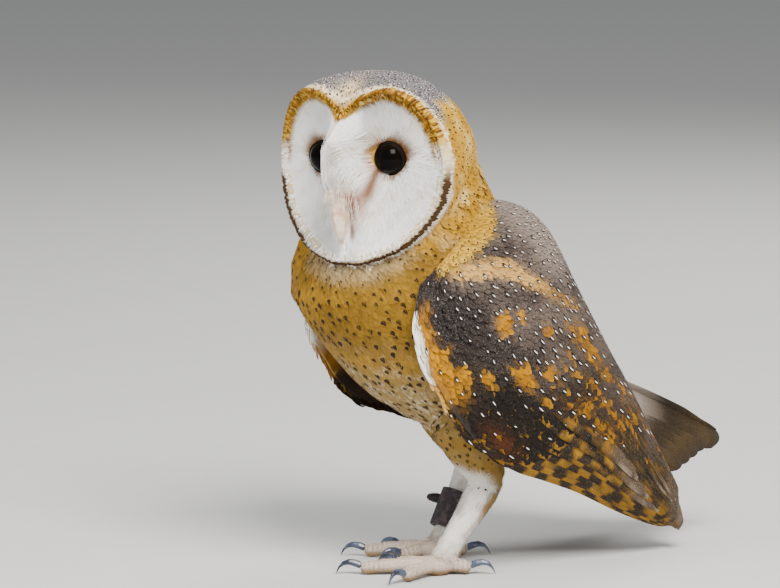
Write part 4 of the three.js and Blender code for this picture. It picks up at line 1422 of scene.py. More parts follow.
@dataclass
class Lay:
    """How feathers are laid over the skin."""

    profile: tuple[float, ...] = PLUME
    columns: int = 3
    low: float = 0.4
    high: float = 2.3
    rough: float = 0.35
    fan: float = 0.14
    tip: float = 0.10
    camber: float = 0.16

    def over(
        self, skin: Skin, roots: np.ndarray, normals: np.ndarray, lie: np.ndarray, length: np.ndarray,
        half_width: np.ndarray, lift: np.ndarray, seed: int,
    ) -> np.ndarray:
        """Lays a feather from each root along the skin.

        Args:
            skin: The skin under them.
            roots: Where they grow.
            normals: Outward directions at the roots.
            lie: Directions they lie in.
            length: Their lengths.
            half_width: Half their widths.
            lift: What is added to the height of each tip.
            seed: Picks the small differences between them.

        Returns:
            Grids of points (n, steps, columns, 3).
        """
        rng = np.random.default_rng(seed)
        count, steps = len(roots), len(self.profile)
        turn = rng.normal(0, self.fan, count)[:, None]
        flat = unit(lie - normals * np.sum(lie * normals, 1, keepdims=True))
        aim = flat * np.cos(turn) + np.cross(normals, flat) * np.sin(turn)
        reach = length * rng.uniform(0.85, 1.12, count)
        top = self.high + lift + rng.uniform(-1, 1, count) * self.rough
        place, normal = roots, normals
        rows = []
        for k, wide in enumerate(self.profile):
            s = k / (steps - 1)
            if k:
                place, normal = skin.drape(place + aim * (reach / (steps - 1))[:, None])
                aim = unit(aim - normal * np.sum(aim * normal, 1, keepdims=True))
            height = self.low + (top - self.low) * s**0.75
            across = np.cross(aim, normal)
            u = np.linspace(-1, 1, self.columns)
            middle = place + normal * height[:, None]
            if k == steps - 1:
                bulge = self.tip * reach[:, None] * (1 - u**2)[None]
            else:
                bulge = np.zeros((count, self.columns))
            row = (
                middle[:, None]
                + across[:, None] * (half_width[:, None] * wide * u[None])[..., None]
                - normal[:, None] * (half_width[:, None] * wide * self.camber * (u**2)[None])[..., None]
                + aim[:, None] * bulge[..., None]
            )
            rows.append(row)
        return np.stack(rows, 1)


def spaced(points: np.ndarray, weight: np.ndarray, gap: np.ndarray | float, seed: int) -> np.ndarray:
    """Picks points by chance, no two nearer than a gap.

    Args:
        points: Candidates.
        weight: Chance that each may be picked, 0 to 1.
        gap: Least distance from each.
        seed: Picks the arrangement.

    Returns:
        True for each picked point.
    """
    rng = np.random.default_rng(seed)
    order = rng.permutation(len(points))
    order = order[rng.random(len(points))[order] < weight[order]]
    kept = np.empty((len(order), 3))
    chosen = np.zeros(len(points), bool)
    gaps = np.broadcast_to(np.asarray(gap, float), len(points)) * rng.uniform(0.6, 1.25, len(points))
    used = 0
    for i in order:
        if used and np.min(np.sum((kept[:used] - points[i]) ** 2, 1)) < gaps[i] ** 2:
            continue
        kept[used] = points[i]
        used += 1
        chosen[i] = True
    return chosen


def unwrap(points: np.ndarray, region: Region) -> np.ndarray:
    """Place of points on the unwrap of a region, 0 to 1 both ways: round its axis and along it."""
    if region is Region.HEAD:
        side, up, ahead = HEAD.locate(points)
        around, along_it = np.arctan2(side, ahead), up / 130 + 0.5
        return np.stack([0.5 + 0.47 * around / math.pi, np.clip(along_it, 0.02, 0.98)], -1)
    s, h = WING.locate(points)
    if region in (Region.THIGHS, Region.SHANKS):
        x = points[:, 0] - np.where(points[:, 0] > 0, 23, -23)
        around = np.arctan2(x, points[:, 1] - 15) / math.pi
        share = 0.25 + 0.23 * around + 0.5 * (points[:, 0] < 0)
        return np.stack([share, np.clip(points[:, 2] / 120, 0.02, 0.98)], -1)
    around = np.arctan2(points[:, 0], h - 105)
    return np.stack([0.5 + 0.47 * around / math.pi, np.clip((s + 220) / 400, 0.02, 0.98)], -1)


@dataclass
class Plumage:
    """The coat of one region of the skin: overlapping feathers, marked ones on top, and soft strands."""

    name: str
    region: Region
    slot: str
    spacing: float
    seed: int
    lay: Lay = field(default_factory=Lay)
    spot_gap: float = 5.0
    drop_gap: float = 6.0
    spot_lift: float = 0.35
    strands: float = 0.0
    strand_length: float = 5.0
    scale: float = 1.0

    def build(self, skin: Skin, finish: bpy.types.Material, marked: bpy.types.Material) -> list[bpy.types.Object]:
        """Makes the pieces of the coat.

        Args:
            skin: The skin it grows on.
            finish: Finish of the feathers.
            marked: Finish of the marked feathers.

        Returns:
            The pieces.
        """
        roots, normals = skin.scatter(self.region, self.spacing, self.seed)
        keep = self._clear(skin, roots, normals)
        roots, normals = roots[keep], normals[keep]
        coat = coat_of(self.region, roots)
        rng = np.random.default_rng(self.seed + 1)
        shade = rng.normal(1.0, 0.05, (len(roots), 1))
        tint = np.clip(coat.tint * shade, 0, 1)
        lie = lie_of(self.region, roots)
        drop = spaced(roots, coat.drop, self.drop_gap, self.seed + 2)
        spot = spaced(roots, coat.spot, self._gaps(roots), self.seed + 3) & ~drop
        special = drop | spot
        marks = coat.marks()
        marks[:, 0], marks[:, 1] = spot, drop
        pieces = []
        for key, mask, material in (("", ~special, finish), ("_marked", special, marked)):
            if not mask.any():
                continue
            size = self.scale * rng.uniform(0.75, 1.25, mask.sum())
            grid = self.lay.over(
                skin, roots[mask], normals[mask], lie[mask], coat.length[mask] * size,
                coat.half_width[mask] * size, special[mask] * self.spot_lift - self._sunk(roots[mask]), self.seed + 4,
            )
            batch = Blades(grid, tint[mask], marks[mask], unwrap(roots[mask], self.region))
            pieces.append(batch.build(self.name + key, material))
        if self.strands:
            pieces.append(self._strands(skin, finish))
        for piece in pieces:
            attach(piece, "root")
        return pieces

    def _strands(self, skin: Skin, finish: bpy.types.Material) -> bpy.types.Object:
        """Fine loose strands over the feathers."""
        roots, normals = skin.scatter(self.region, self.strands, self.seed + 5)
        keep = self._clear(skin, roots, normals)
        roots, normals = roots[keep], normals[keep]
        coat = coat_of(self.region, roots)
        rng = np.random.default_rng(self.seed + 6)
        count = len(roots)
        lay = Lay(profile=HAIR, columns=2, low=self.lay.high * 0.55, high=self.lay.high + 0.25, rough=0.3,
                  fan=0.3, tip=0.0, camber=0.0)
        grid = lay.over(
            skin, roots, normals, lie_of(self.region, roots), np.full(count, self.strand_length),
            np.full(count, 0.16), np.zeros(count), self.seed + 7,
        )
        tint = np.clip(coat.tint * rng.normal(1.06, 0.1, (count, 1)), 0, 1)
        marks = np.stack([0 * coat.spot, 0 * coat.spot, 0.5 * coat.pepper, 1 + 0 * coat.spot], -1)
        return Blades(grid, tint, marks, unwrap(roots, self.region)).build(self.name + "_strands", finish)

    def _gaps(self, roots: np.ndarray) -> np.ndarray:
        """Least distance between spots: the neck's are as close as the head's."""
        if self.region is not Region.BODY:
            return np.full(len(roots), self.spot_gap)
        return self.spot_gap + ramp(150, 110, roots[:, 2]) * 1.2 - ramp(170, 180, roots[:, 2]) * 1.4

    def _sunk(self, roots: np.ndarray) -> np.ndarray:
        """How much lower the tips lie where the thighs' coat thins out."""
        if self.region is not Region.THIGHS:
            return np.zeros(len(roots))
        return 0.8 * ramp(70, 56, roots[:, 2])

    def _clear(self, skin: Skin, roots: np.ndarray, normals: np.ndarray) -> np.ndarray:
        """Roots that lie neither on the facial disc nor close under a wing."""
        if self.region is Region.BODY:
            return ~skin.under_wing(roots, normals)
        if self.region is not Region.HEAD:
            return np.ones(len(roots), bool)
        side, up, ahead = HEAD.locate(roots)
        inside = np.hypot(side, up - HEAD.hub) < HEAD.rim_reach(side, up) * 0.985
        return ~(inside & (ahead > HEAD.rim_ahead - 12))


@dataclass
class FaceDisc:
    """Fine filaments that radiate over the facial disc from the eyes and run down its keel."""

    spacing: float = 0.62
    length: float = 7.5
    seed: int = 101

    def build(self, finish: bpy.types.Material) -> bpy.types.Object:
        """Makes the filaments of the disc.

        Args:
            finish: Their finish.

        Returns:
            The piece.
        """
        rng = np.random.default_rng(self.seed)
        spacing = self.spacing * (1.0 if FINE else 1.6)
        xs, ys = np.meshgrid(np.arange(-51, 51, spacing), np.arange(-51, 43, spacing))
        side = (xs + rng.uniform(-0.5, 0.5, xs.shape) * spacing).ravel()
        up = (ys + rng.uniform(-0.5, 0.5, ys.shape) * spacing).ravel()
        t = np.hypot(side, up - HEAD.hub) / HEAD.rim_reach(side, up)
        eye = np.hypot(np.abs(side) - EYE["side"], up - EYE["up"])
        bill = (np.abs(side) < 2.6) & (up < -20) & (up > -37)
        hole = 8.5 - 1.6 * ramp(3, -3, np.abs(side) - EYE["side"])
        keep = (t < 0.99) & (eye > hole) & ~bill
        side, up, t, eye = side[keep], up[keep], t[keep], eye[keep]
        aim = self.aim(side, up)
        turn = rng.normal(0, 0.16, len(side))
        aim = np.stack([aim[:, 0] * np.cos(turn) - aim[:, 1] * np.sin(turn),
                        aim[:, 0] * np.sin(turn) + aim[:, 1] * np.cos(turn)], -1)
        length = self.length * rng.uniform(0.7, 1.15, len(side)) * (0.42 + 0.58 * ramp(8.5, 17, eye))
        outward = np.sum(aim * np.stack([side, up - HEAD.hub], -1), 1) / np.hypot(side, up - HEAD.hub)
        room = (0.975 - t) * HEAD.rim_reach(side, up) + 0.6
        length = np.minimum(length, np.maximum(room, 0.8) / np.maximum(outward, 0.12))
        high = 0.9 + rng.uniform(0, 0.9, len(side)) + 1.0 * np.exp(-((side / 4.5) ** 2)) * (up < 0)
        steps = 4
        rows, tints = [], []
        shade = rng.normal(1.0, 0.05, (len(side), 1))
        for k in range(steps):
            s = k / (steps - 1)
            x, y = side + aim[:, 0] * length * s, up + aim[:, 1] * length * s
            tints.append(np.clip(Markings.face(x, y) * shade, 0, 0.93))
            reach = np.minimum(np.hypot(x, y - HEAD.hub) / HEAD.rim_reach(x, y), 1.0)
            ahead = HEAD.face_ahead(x, y, reach) - 0.7 + high * s**0.8
            half = 0.30 * (1.0, 0.85, 0.55, 0.12)[k]
            across = np.stack([aim[:, 1], -aim[:, 0]], -1) * half
            pair = [HEAD.place(x - across[:, 0], y - across[:, 1], ahead), HEAD.place(x + across[:, 0], y + across[:, 1], ahead)]
            rows.append(np.stack(pair, 1))
        grid = np.stack(rows, 1)
        tint = np.stack(tints, 1)
        root = np.stack([side / 110 + 0.5, up / 110 + 0.5], -1)
        marks = np.tile([0.0, 0.0, 0.0, 1.0], (len(side), 1))
        piece = Blades(grid, tint, marks, root).build("face_disc_plumes", finish)
        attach(piece, "root")
        return piece

    @staticmethod
    def aim(side: np.ndarray, up: np.ndarray) -> np.ndarray:
        """Direction (side, up) in which the filaments lie at places on the disc."""
        sign = np.where(side >= 0, 1.0, -1.0)
        away = np.stack([side - sign * EYE["side"], up - EYE["up"]], -1)
        away = away / np.maximum(np.linalg.norm(away, axis=1, keepdims=True), 1e-6)
        keel = np.exp(-((side / 8.5) ** 2))[:, None]
        high = ramp(10, 22, up)
        keel_way = np.stack([sign * (0.35 + 0.35 * high), -1.0 + 2.0 * high], -1)
        way = away * (1 - keel) + keel_way * keel * 1.4
        return way / np.maximum(np.linalg.norm(way, axis=1, keepdims=True), 1e-6)


@dataclass
class Ruff:
    """Stiff scale-like feathers in rows along the rim of the disc, dark outside on its lower half."""

    count: int = 420
    seed: int = 131

    def build(self, finish: bpy.types.Material) -> bpy.types.Object:
        """Makes the rows.

        Args:
            finish: Their finish.

        Returns:
            The piece.
        """
        rng = np.random.default_rng(self.seed)
        grids, tints, roots = [], [], []
        for row, (start, reach, rise, half) in enumerate(
            ((0.985, 0.055, 0.2, 0.9), (0.955, 0.050, 0.9, 0.7), (0.925, 0.055, 1.3, 0.7), (0.895, 0.05, 1.2, 0.7),
             (0.965, 0.060, -1.0, 0.9))
        ):
            rim = self._rim(row, rng)
            out = unit(rim - np.array([0.0, HEAD.hub]))
            run = np.stack([-out[:, 1], out[:, 0]], -1)
            reach_at = np.linalg.norm(rim - np.array([0.0, HEAD.hub]), axis=1)
            turned = ramp(-8, -34, rim[:, 0]) * ramp(0, -8, rim[:, 1]) * (row < 4)
            begin = start - 0.05 * turned + rng.normal(0, 0.005, len(rim))
            length = reach * rng.uniform(0.9, 1.1, len(rim))
            lifted = rise + rng.uniform(-0.15, 0.2, len(rim)) + (1.5 * turned if row == 0 else 0.0)
            rows = []
            for k, wide in enumerate((0.7, 1.0, 0.95, 0.45)):
                s = k / 3
                t = begin + length * s
                line = []
                for u in (-1.0, 0.0, 1.0):
                    share = t + (0.008 * (1 - u * u) if k == 3 else 0.0)
                    place = np.array([0.0, HEAD.hub]) + out * (reach_at * share)[:, None] + run * (u * half * wide)
                    inside = np.minimum(share, 1.0)
                    ahead = HEAD.face_ahead(place[:, 0], place[:, 1], inside) - 0.5 + lifted * s + 0.3
                    ahead = ahead - 5.0 * np.maximum(share - 1.0, 0) * 8 - 0.12 * u * u
                    line.append(HEAD.place(place[:, 0], place[:, 1], ahead))
                rows.append(np.stack(line, 1))
            grids.append(np.stack(rows, 1))
            tints.append(self._tints(row, rim, rng))
            roots.append(rim / 110 + 0.5)
        grid, tint = np.concatenate(grids), np.concatenate(tints)
        marks = np.tile([0.0, 0.0, 0.1, 1.0], (len(grid), 1))
        piece = Blades(grid, tint, marks, np.concatenate(roots)).build("face_ruff", finish)
        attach(piece, "root")
        return piece

    def _rim(self, row: int, rng: np.random.Generator) -> np.ndarray:
        """Places along the rim, half a step on in every other row."""
        fine = HEAD.rim_points(self.count * 4)
        step = np.linalg.norm(np.roll(fine, -1, 0) - fine, axis=1)
        length = np.concatenate([[0.0], np.cumsum(step)])
        place = (np.arange(self.count) + 0.5 * (row % 2) + rng.uniform(-0.3, 0.3, self.count)) / self.count
        closed = np.concatenate([fine, fine[:1]])
        return np.stack([np.interp((place % 1.0) * length[-1], length, closed[:, k]) for k in (0, 1)], -1)

    @staticmethod
    def _tints(row: int, rim: np.ndarray, rng: np.random.Generator) -> np.ndarray:
        """Colour of each step of each feather of a row."""
        low = ramp(6, -8, rim[:, 1])[:, None, None]
        brow = ramp(8, 16, rim[:, 1])[:, None, None]
        chance = rng.random((len(rim), 1, 1))
        s = np.linspace(0, 1, 4)[None, :, None]
        white, gold, dark = Tone.DISC, Tone.GOLD, Tone.LINE
        scaly = np.where(chance < 0.45, gold, np.where(chance < 0.7, srgb(170, 164, 140), white))
        if row == 0:
            lower = dark * (0.8 + 0.3 * chance) + 0 * s
            upper = mix(Tone.CREAM, Tone.GOLD, 0.5 * chance[..., 0]) + 0 * s
        elif row == 1:
            lower = white * (1 - s**2) + (0.45 * gold + 0.55 * dark) * s**2
            upper = white * (1 - 0.5 * s) + Tone.CREAM * 0.5 * s
        elif row == 4:
            lower = upper = Tone.CREAM * (0.85 + 0.2 * chance) + 0 * s
        else:
            lower = white * (1 - s**1.5) + scaly * s**1.5
            upper = white * (1 - 0.25 * s * (chance > 0.6)) + 0 * s
        dotted = np.where(chance < 0.2, srgb(84, 54, 16), np.where(chance < 0.7, Tone.ORANGE, Tone.GOLD)) + 0 * s
        plain = upper * (1 - low) + lower * low
        return plain * (1 - brow) + dotted * brow


@dataclass
class WingFeathers:
    """Flight feathers of one folded wing, each lying on the wing's surface."""

    side: str
    count: int = 24
    steps: int = 30
    columns: int = 5
    seed: int = 151

    def grid(self) -> tuple[np.ndarray, np.ndarray, np.ndarray, np.ndarray]:
        """Points, tint and marks of the left wing's feathers, and their place on the unwrap."""
        rng = np.random.default_rng(self.seed)
        girth_at = np.linspace(0, 1.15, 24)
        girth = [np.sum(np.linalg.norm(np.diff(WING.point(t, np.linspace(0, 1, 40)), axis=0), axis=1)) for t in girth_at]
        share = np.arange(self.count) / (self.count - 1)
        lows = 0.93 * share**1.4
        ends = np.interp(lows, (0, 0.02, 0.05, 0.09, 0.14, 0.25, 0.4, 0.55, 0.93),
                         (0.99, 1.02, 1.04, 1.035, 1.015, 0.985, 0.955, 0.93, 0.92))
        layers = np.zeros(self.count)
        lows = np.concatenate([lows, (0.128, 0.168, 0.208, 0.34, 0.41)])
        ends = np.concatenate([ends, (0.895, 0.850, 0.800, 0.915, 0.925)])
        layers = np.concatenate([layers, (1.0, 1.4, 1.8, 0.6, 0.6)])
        grids, tints, marks, patches = [], [], [], []
        phase = 0.0
        for v0, end, layer in zip(lows, ends, layers):
            phase += rng.uniform(0.18, 0.5)
            begin = 0.30 + 0.32 * v0 + 0.15 * (layer > 0)
            s = np.linspace(0, 1, self.steps)
            t = begin + (end - begin) * s
            wide = (11.5 if layer else 16.0) * np.interp(s, (0, 0.15, 0.8, 0.93, 1), (0.7, 1, 0.97, 0.8, 0.3))
            breadth = wide / np.interp(t, girth_at, girth)
            inward = 0.16 * (wide.max() - wide) / np.interp(t, girth_at, girth)
            u = np.linspace(0, 1, self.columns)
            v = v0 + inward[:, None] + breadth[:, None] * u[None]
            sink = 0.35 + 2.0 * u[None] ** 1.2 + 0.8 * (1 - s[:, None]) - 0.45 * layer + 0 * v
            lift = 0.35 * np.sin(math.pi * s)[:, None]
            grids.append(WING.point(t[:, None] + 0 * v, np.clip(v, 0, 1.0), sink - lift))
            tint, mark = self._paint(v0, layer, t[:, None] + 0 * v, v, end, phase, rng)
            tints.append(tint)
            marks.append(mark)
            patches.append((0.1 + 0.8 * v0, 0.35 + 0.15 * layer))
        return np.stack(grids), np.stack(tints), np.stack(marks), np.array(patches)

    @staticmethod
    def _paint(
        v0: float, layer: float, t: np.ndarray, v: np.ndarray, end: float, phase: float, rng: np.random.Generator
    ) -> tuple[np.ndarray, np.ndarray]:
        """Tint and marks at the points of one feather.

        Args:
            v0: Place of its lower edge over the wing.
            layer: 0 for the main row, more for those that lie on top.
            t: Place of each point along the wing.
            v: Place of each point over the wing.
            end: Where the feather ends.
            phase: Where its bars start.
            rng: Source of the small differences.

        Returns:
            Colours and marks of the points.
        """
        run = (end - t) * 227.0
        across = v * 150.0
        blotch = cloud(np.stack([run / 5.0, across / 3.0, 0 * run + 9 * v0], -1), 1.0, 31)
        gold = mix(Tone.BAR_GOLD, Tone.PATCH, np.full(t.shape, rng.uniform(0, 0.6)))
        gold = mix(gold, Tone.UMBER, 0.9 * ramp(0.48, 0.70, blotch))
        inner = ramp(0.14, 0.26, np.full(t.shape, v0))
        tint = mix(gold, Tone.UMBER, 0.75 * inner)
        reach = 24.0 if layer else 20.0
        grey = np.clip(ramp(reach, reach - 9, run), 0, 1) * (1.0 if layer or v0 > 0.12 else 0.75 * (v0 > 0.03))
        tint = mix(tint, Tone.TIP_GREY, grey * (1 - 0.35 * ramp(0.5, 0.8, blotch)))
        fringe = ramp(2.2, 0.8, run) * (0.3 + 0.7 * (layer > 0))
        side_edge = ramp(1.3, 0.4, across - v0 * 150.0) * ramp(15, 8, run) * (layer > 0)
        tint = mix(tint, srgb(186, 168, 146), 0.75 * np.maximum(fringe, side_edge))
        drop = np.hypot((run - 8.0) / 2.0, (across - v0 * 150.0 - 2.6) / 0.8)
        tint = mix(tint, srgb(240, 236, 228), ramp(1.2, 0.7, drop) * (layer > 0))
        # Painted shadow: near-black lines where one group of flight feathers lies over the next, standing in for the
        # shade in the gaps between them; no bars are drawn there.
        shadow_slit = np.minimum(
            Markings.to_line(t * 227, across, (0.77 * 227, 0.385 * 150), (0.87 * 227, 0.29 * 150)),
            Markings.to_line(t * 227, across, (0.615 * 227, 0.235 * 150), (0.73 * 227, 0.165 * 150)),
        )
        tint = mix(tint, srgb(6, 4, 3), ramp(3.4, 1.9, shadow_slit))
        bars = (0.96 - 0.35 * inner) * (1 - 0.9 * grey) * (1 - ramp(3.0, 1.5, shadow_slit))
        mark = np.stack([(run / rng.uniform(13.0, 16.5) + phase) / 20.0, bars, 0.45 + 0.3 * grey, 0 * run], -1)
        return tint, mark

    def build(self, finish: bpy.types.Material) -> bpy.types.Object:
        """Makes the wing's flight feathers.

        Args:
            finish: Their finish.

        Returns:
            The piece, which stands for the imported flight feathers.
        """
        grid, tint, marks, patch = self.grid()
        if self.side == "right":
            grid = WING.to_right(grid)[:, :, ::-1]
        piece = Blades(grid, tint, marks, patch, 0.35).build(f"{self.side}_flight_plumes", finish)
        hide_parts(f"{self.side}_flight_feathers")
        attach(piece, "root")
        return piece


@dataclass
class WingCoverts:
    """Coverts and scapulars of one wing, laid on its surface and smaller toward the shoulder."""

    side: str
    spacing: float = 2.5
    seed: int = 171

    def build(self, finish: bpy.types.Material, marked: bpy.types.Material) -> list[bpy.types.Object]:
        """Makes the coverts and the droplet feathers over them.

        Args:
            finish: Finish of the feathers.
            marked: Finish of the marked feathers.

        Returns:
            The pieces.
        """
        rng = np.random.default_rng(self.seed)
        t, v = self._places(rng, self.spacing * (1.0 if FINE else 1.5))
        roots = WING.point(t, v)
        s, h = WING.locate(roots)
        coat = Markings.wing(t, v, s, h)
        tint = np.clip(coat.tint * rng.normal(1.0, 0.05, (len(t), 1)), 0, 1)
        gap = 5.4 + 4.5 * ramp(100, 80, h) + 5.0 * ramp(-70, -30, s)
        drop = spaced(roots, coat.drop * ramp(0.85, 0.45, t) * 0.5, gap, self.seed + 1)
        spot = spaced(roots, coat.spot, 3.8, self.seed + 2) & ~drop
        marks = coat.marks()
        marks[:, 0], marks[:, 1] = spot, drop
        drop = drop | spot
        pieces = []
        for key, mask, material in (("_coverts", ~drop, finish), ("_coverts_marked", drop, marked)):
            small = drop[mask]
            length = np.where(small, (6.0 + 3.0 * t[mask]) * rng.uniform(0.7, 1.2, mask.sum()), coat.length[mask])
            half = np.where(small, 1.5 + 0.6 * t[mask], coat.half_width[mask])
            grid = self._grid(t[mask], v[mask], length, half, 0.35 * small, rng)
            pieces.append(self._piece(grid, tint[mask], marks[mask], t[mask], v[mask], key, material))
        t, v = self._places(rng, 1.0 if FINE else 2.5)
        coat = Markings.wing(t, v, *WING.locate(WING.point(t, v)))
        count = len(t)
        grid = self._grid(t, v, np.full(count, 4.5), np.full(count, 0.18), np.full(count, 0.25), rng, HAIR, 2)
        tint = np.clip(coat.tint * rng.normal(1.05, 0.14, (count, 1)), 0, 1)
        marks = coat.marks() * np.array([0, 0, 0.6, 1])
        pieces.append(self._piece(grid, tint, marks, t, v, "_wing_strands", finish))
        return pieces

    def _places(self, rng: np.random.Generator, spacing: float) -> tuple[np.ndarray, np.ndarray]:
        """Places (t, v) spread evenly over the covert area."""
        ts = np.linspace(-0.02, 0.98, 60)
        girth = [np.sum(np.linalg.norm(np.diff(WING.point(k, np.linspace(0, 1, 40)), axis=0), axis=1)) for k in ts]
        step = spacing / 227.0
        rows = np.arange(-0.02, 0.95, step)
        t, v = [], []
        for k, row in enumerate(rows):
            count = max(3, int(np.interp(row, ts, girth) / spacing))
            place = (np.arange(count) + 0.5 * (k % 2) + rng.uniform(-0.42, 0.42, count)) / count
            t.append(row + rng.uniform(-0.45, 0.45, count) * step)
            v.append(np.clip(place, 0.0, 1.0))
        t, v = np.concatenate(t), np.concatenate(v)
        limit = np.interp(v, (0, 0.1, 0.195, 0.23, 0.26, 0.285, 0.4, 0.535, 0.75, 1),
                          (0.50, 0.565, 0.55, 0.595, 0.65, 0.70, 0.745, 0.785, 0.84, 0.87))
        keep = t < limit + 0.04 * (cloud(np.stack([v * 14, t * 0, t * 0], -1), 1.0, 5) - 0.5)
        return t[keep], v[keep]

    @staticmethod
    def _grid(
        t: np.ndarray, v: np.ndarray, length: np.ndarray, half: np.ndarray, lift: np.ndarray,
        rng: np.random.Generator, profile: tuple[float, ...] = PLUME, columns: int = 3,
    ) -> np.ndarray:
        """Feathers on the wing's surface as grids of points."""
        count, steps = len(t), len(profile)
        reach = length * rng.uniform(0.85, 1.12, count)
        drift = rng.normal(0, 0.10, count)
        top = rng.uniform(-0.15, 0.1, count) - lift
        u = np.linspace(-1, 1, columns)
        rows = []
        for k, wide in enumerate(profile):
            share = k / (steps - 1)
            along_it = t + reach * share / 227.0
            eps = 0.01
            over = (WING.point(along_it, v + eps) - WING.point(along_it, v - eps)) / (2 * eps)
            per_v = np.linalg.norm(over, axis=1)
            place = v + drift * reach * share / per_v
            depth = 2.0 * (1 - share**0.8) + top * share**0.8
            bulge = (0.1 * reach / 227.0)[:, None] * (1 - u**2) * (k == steps - 1)
            across = place[:, None] + (half * wide / per_v)[:, None] * u[None]
            sag = (half * wide * 0.08)[:, None] * (u**2)[None]
            rows.append(WING.point(along_it[:, None] + bulge, across, depth[:, None] + sag))
        return np.stack(rows, 1)

    def _piece(
        self, grid: np.ndarray, tint: np.ndarray, marks: np.ndarray, t: np.ndarray, v: np.ndarray, key: str,
        material: bpy.types.Material,
    ) -> bpy.types.Object:
        """One piece of the wing's coat, mirrored for the right wing."""
        if self.side == "right":
            grid = WING.to_right(grid)[:, :, ::-1]
        patch = np.stack([np.clip(0.05 + 0.85 * t, 0.02, 0.98), 0.05 + 0.9 * np.clip(v, 0, 1)], -1)
        piece = Blades(grid, tint, marks, patch).build(self.side + key, material)
        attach(piece, "root")
        return piece


@dataclass
class TailFan:
    """Twelve tail feathers, tented from the middle pair down to the outer ones."""

    pairs: int = 6
    middle_root: tuple[float, float, float] = (0, 104, 101)
    outer_root: tuple[float, float, float] = (13, 100, 84)
    middle_tip: tuple[float, float, float] = (0, 190, 60)
    outer_tip: tuple[float, float, float] = (25, 147, 48)
    half_width: float = 11.0
    seed: int = 191

    def build(self, finish: bpy.types.Material) -> bpy.types.Object:
        """Makes the tail.

        Args:
            finish: Finish of the feathers.

        Returns:
            The piece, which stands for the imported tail.
        """
        rng = np.random.default_rng(self.seed)
        s = np.linspace(0, 1, 24)
        u = np.linspace(-1, 1, 5)
        grids, tints, marks = [], [], []
        for sign in (1.0, -1.0):
            for i in range(self.pairs):
                f = (i + 0.35) / (self.pairs - 0.65)
                root = (1 - f) * np.array(self.middle_root) + f * np.array(self.outer_root)
                tip = (1 - f**1.15) * np.array(self.middle_tip) + f**1.15 * np.array(self.outer_tip)
                root = root + np.array([-0.25 * i, 0.0, -0.25 * i])
                run = tip - root
                path = root + run * s[:, None] + np.array([0, 0, 1.6]) * np.sin(math.pi * s)[:, None]
                along_it = unit(run)
                spread = np.array(self.outer_tip) - np.array(self.middle_tip)
                slant = unit(spread - along_it * (spread @ along_it))
                across = slant
                up = np.cross(across, along_it)
                half = self.half_width * np.interp(s, (0, 0.2, 0.75, 0.94, 1), (0.5, 0.85, 1, 0.86, 0.5))
                sag = 0.14 * (u**2)[None] * half[:, None]
                shift = max(0.0, 0.9 - 3.6 * f)
                grid = path[:, None] + across * (half[:, None] * (u[None] + shift))[..., None] - up * sag[..., None]
                grid[-1] += along_it * (2.2 * (1 - u**2))[:, None]
                if sign < 0:
                    grid = (grid * np.array([-1.0, 1.0, 1.0]))[:, ::-1]
                grids.append(grid)
                # Painted shadow: the tail darkens to near black in its middle, standing in for the shade there over its
                # own darker brown; the pale grey base and the olive-brown tip are its own colours.
                tint = mix(Tone.TAIL_PALE, srgb(40, 30, 16), ramp(0.32, 0.62, s))
                tint = mix(tint, srgb(58, 45, 25), ramp(0.66, 0.85, s))
                tints.append(tint)
                phase = (1 - s) * np.linalg.norm(run) / 17.0 + rng.uniform(-0.04, 0.04) + 0.55
                marks.append(np.stack([phase / 20, 0.10 + 0.2 * ramp(0.4, 0.7, s), 0.2 + 0 * s, 0 * s], -1))
        patch = np.stack([(np.arange(len(grids)) + 0.5) / len(grids), np.full(len(grids), 0.5)], -1)
        piece = Blades(np.stack(grids), np.stack(tints), np.stack(marks), patch, 0.3).build("tail_plumes", finish)
        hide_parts("tail")
        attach(piece, "root")
        return piece


# ------------------------------------------------------------------------------ bare parts


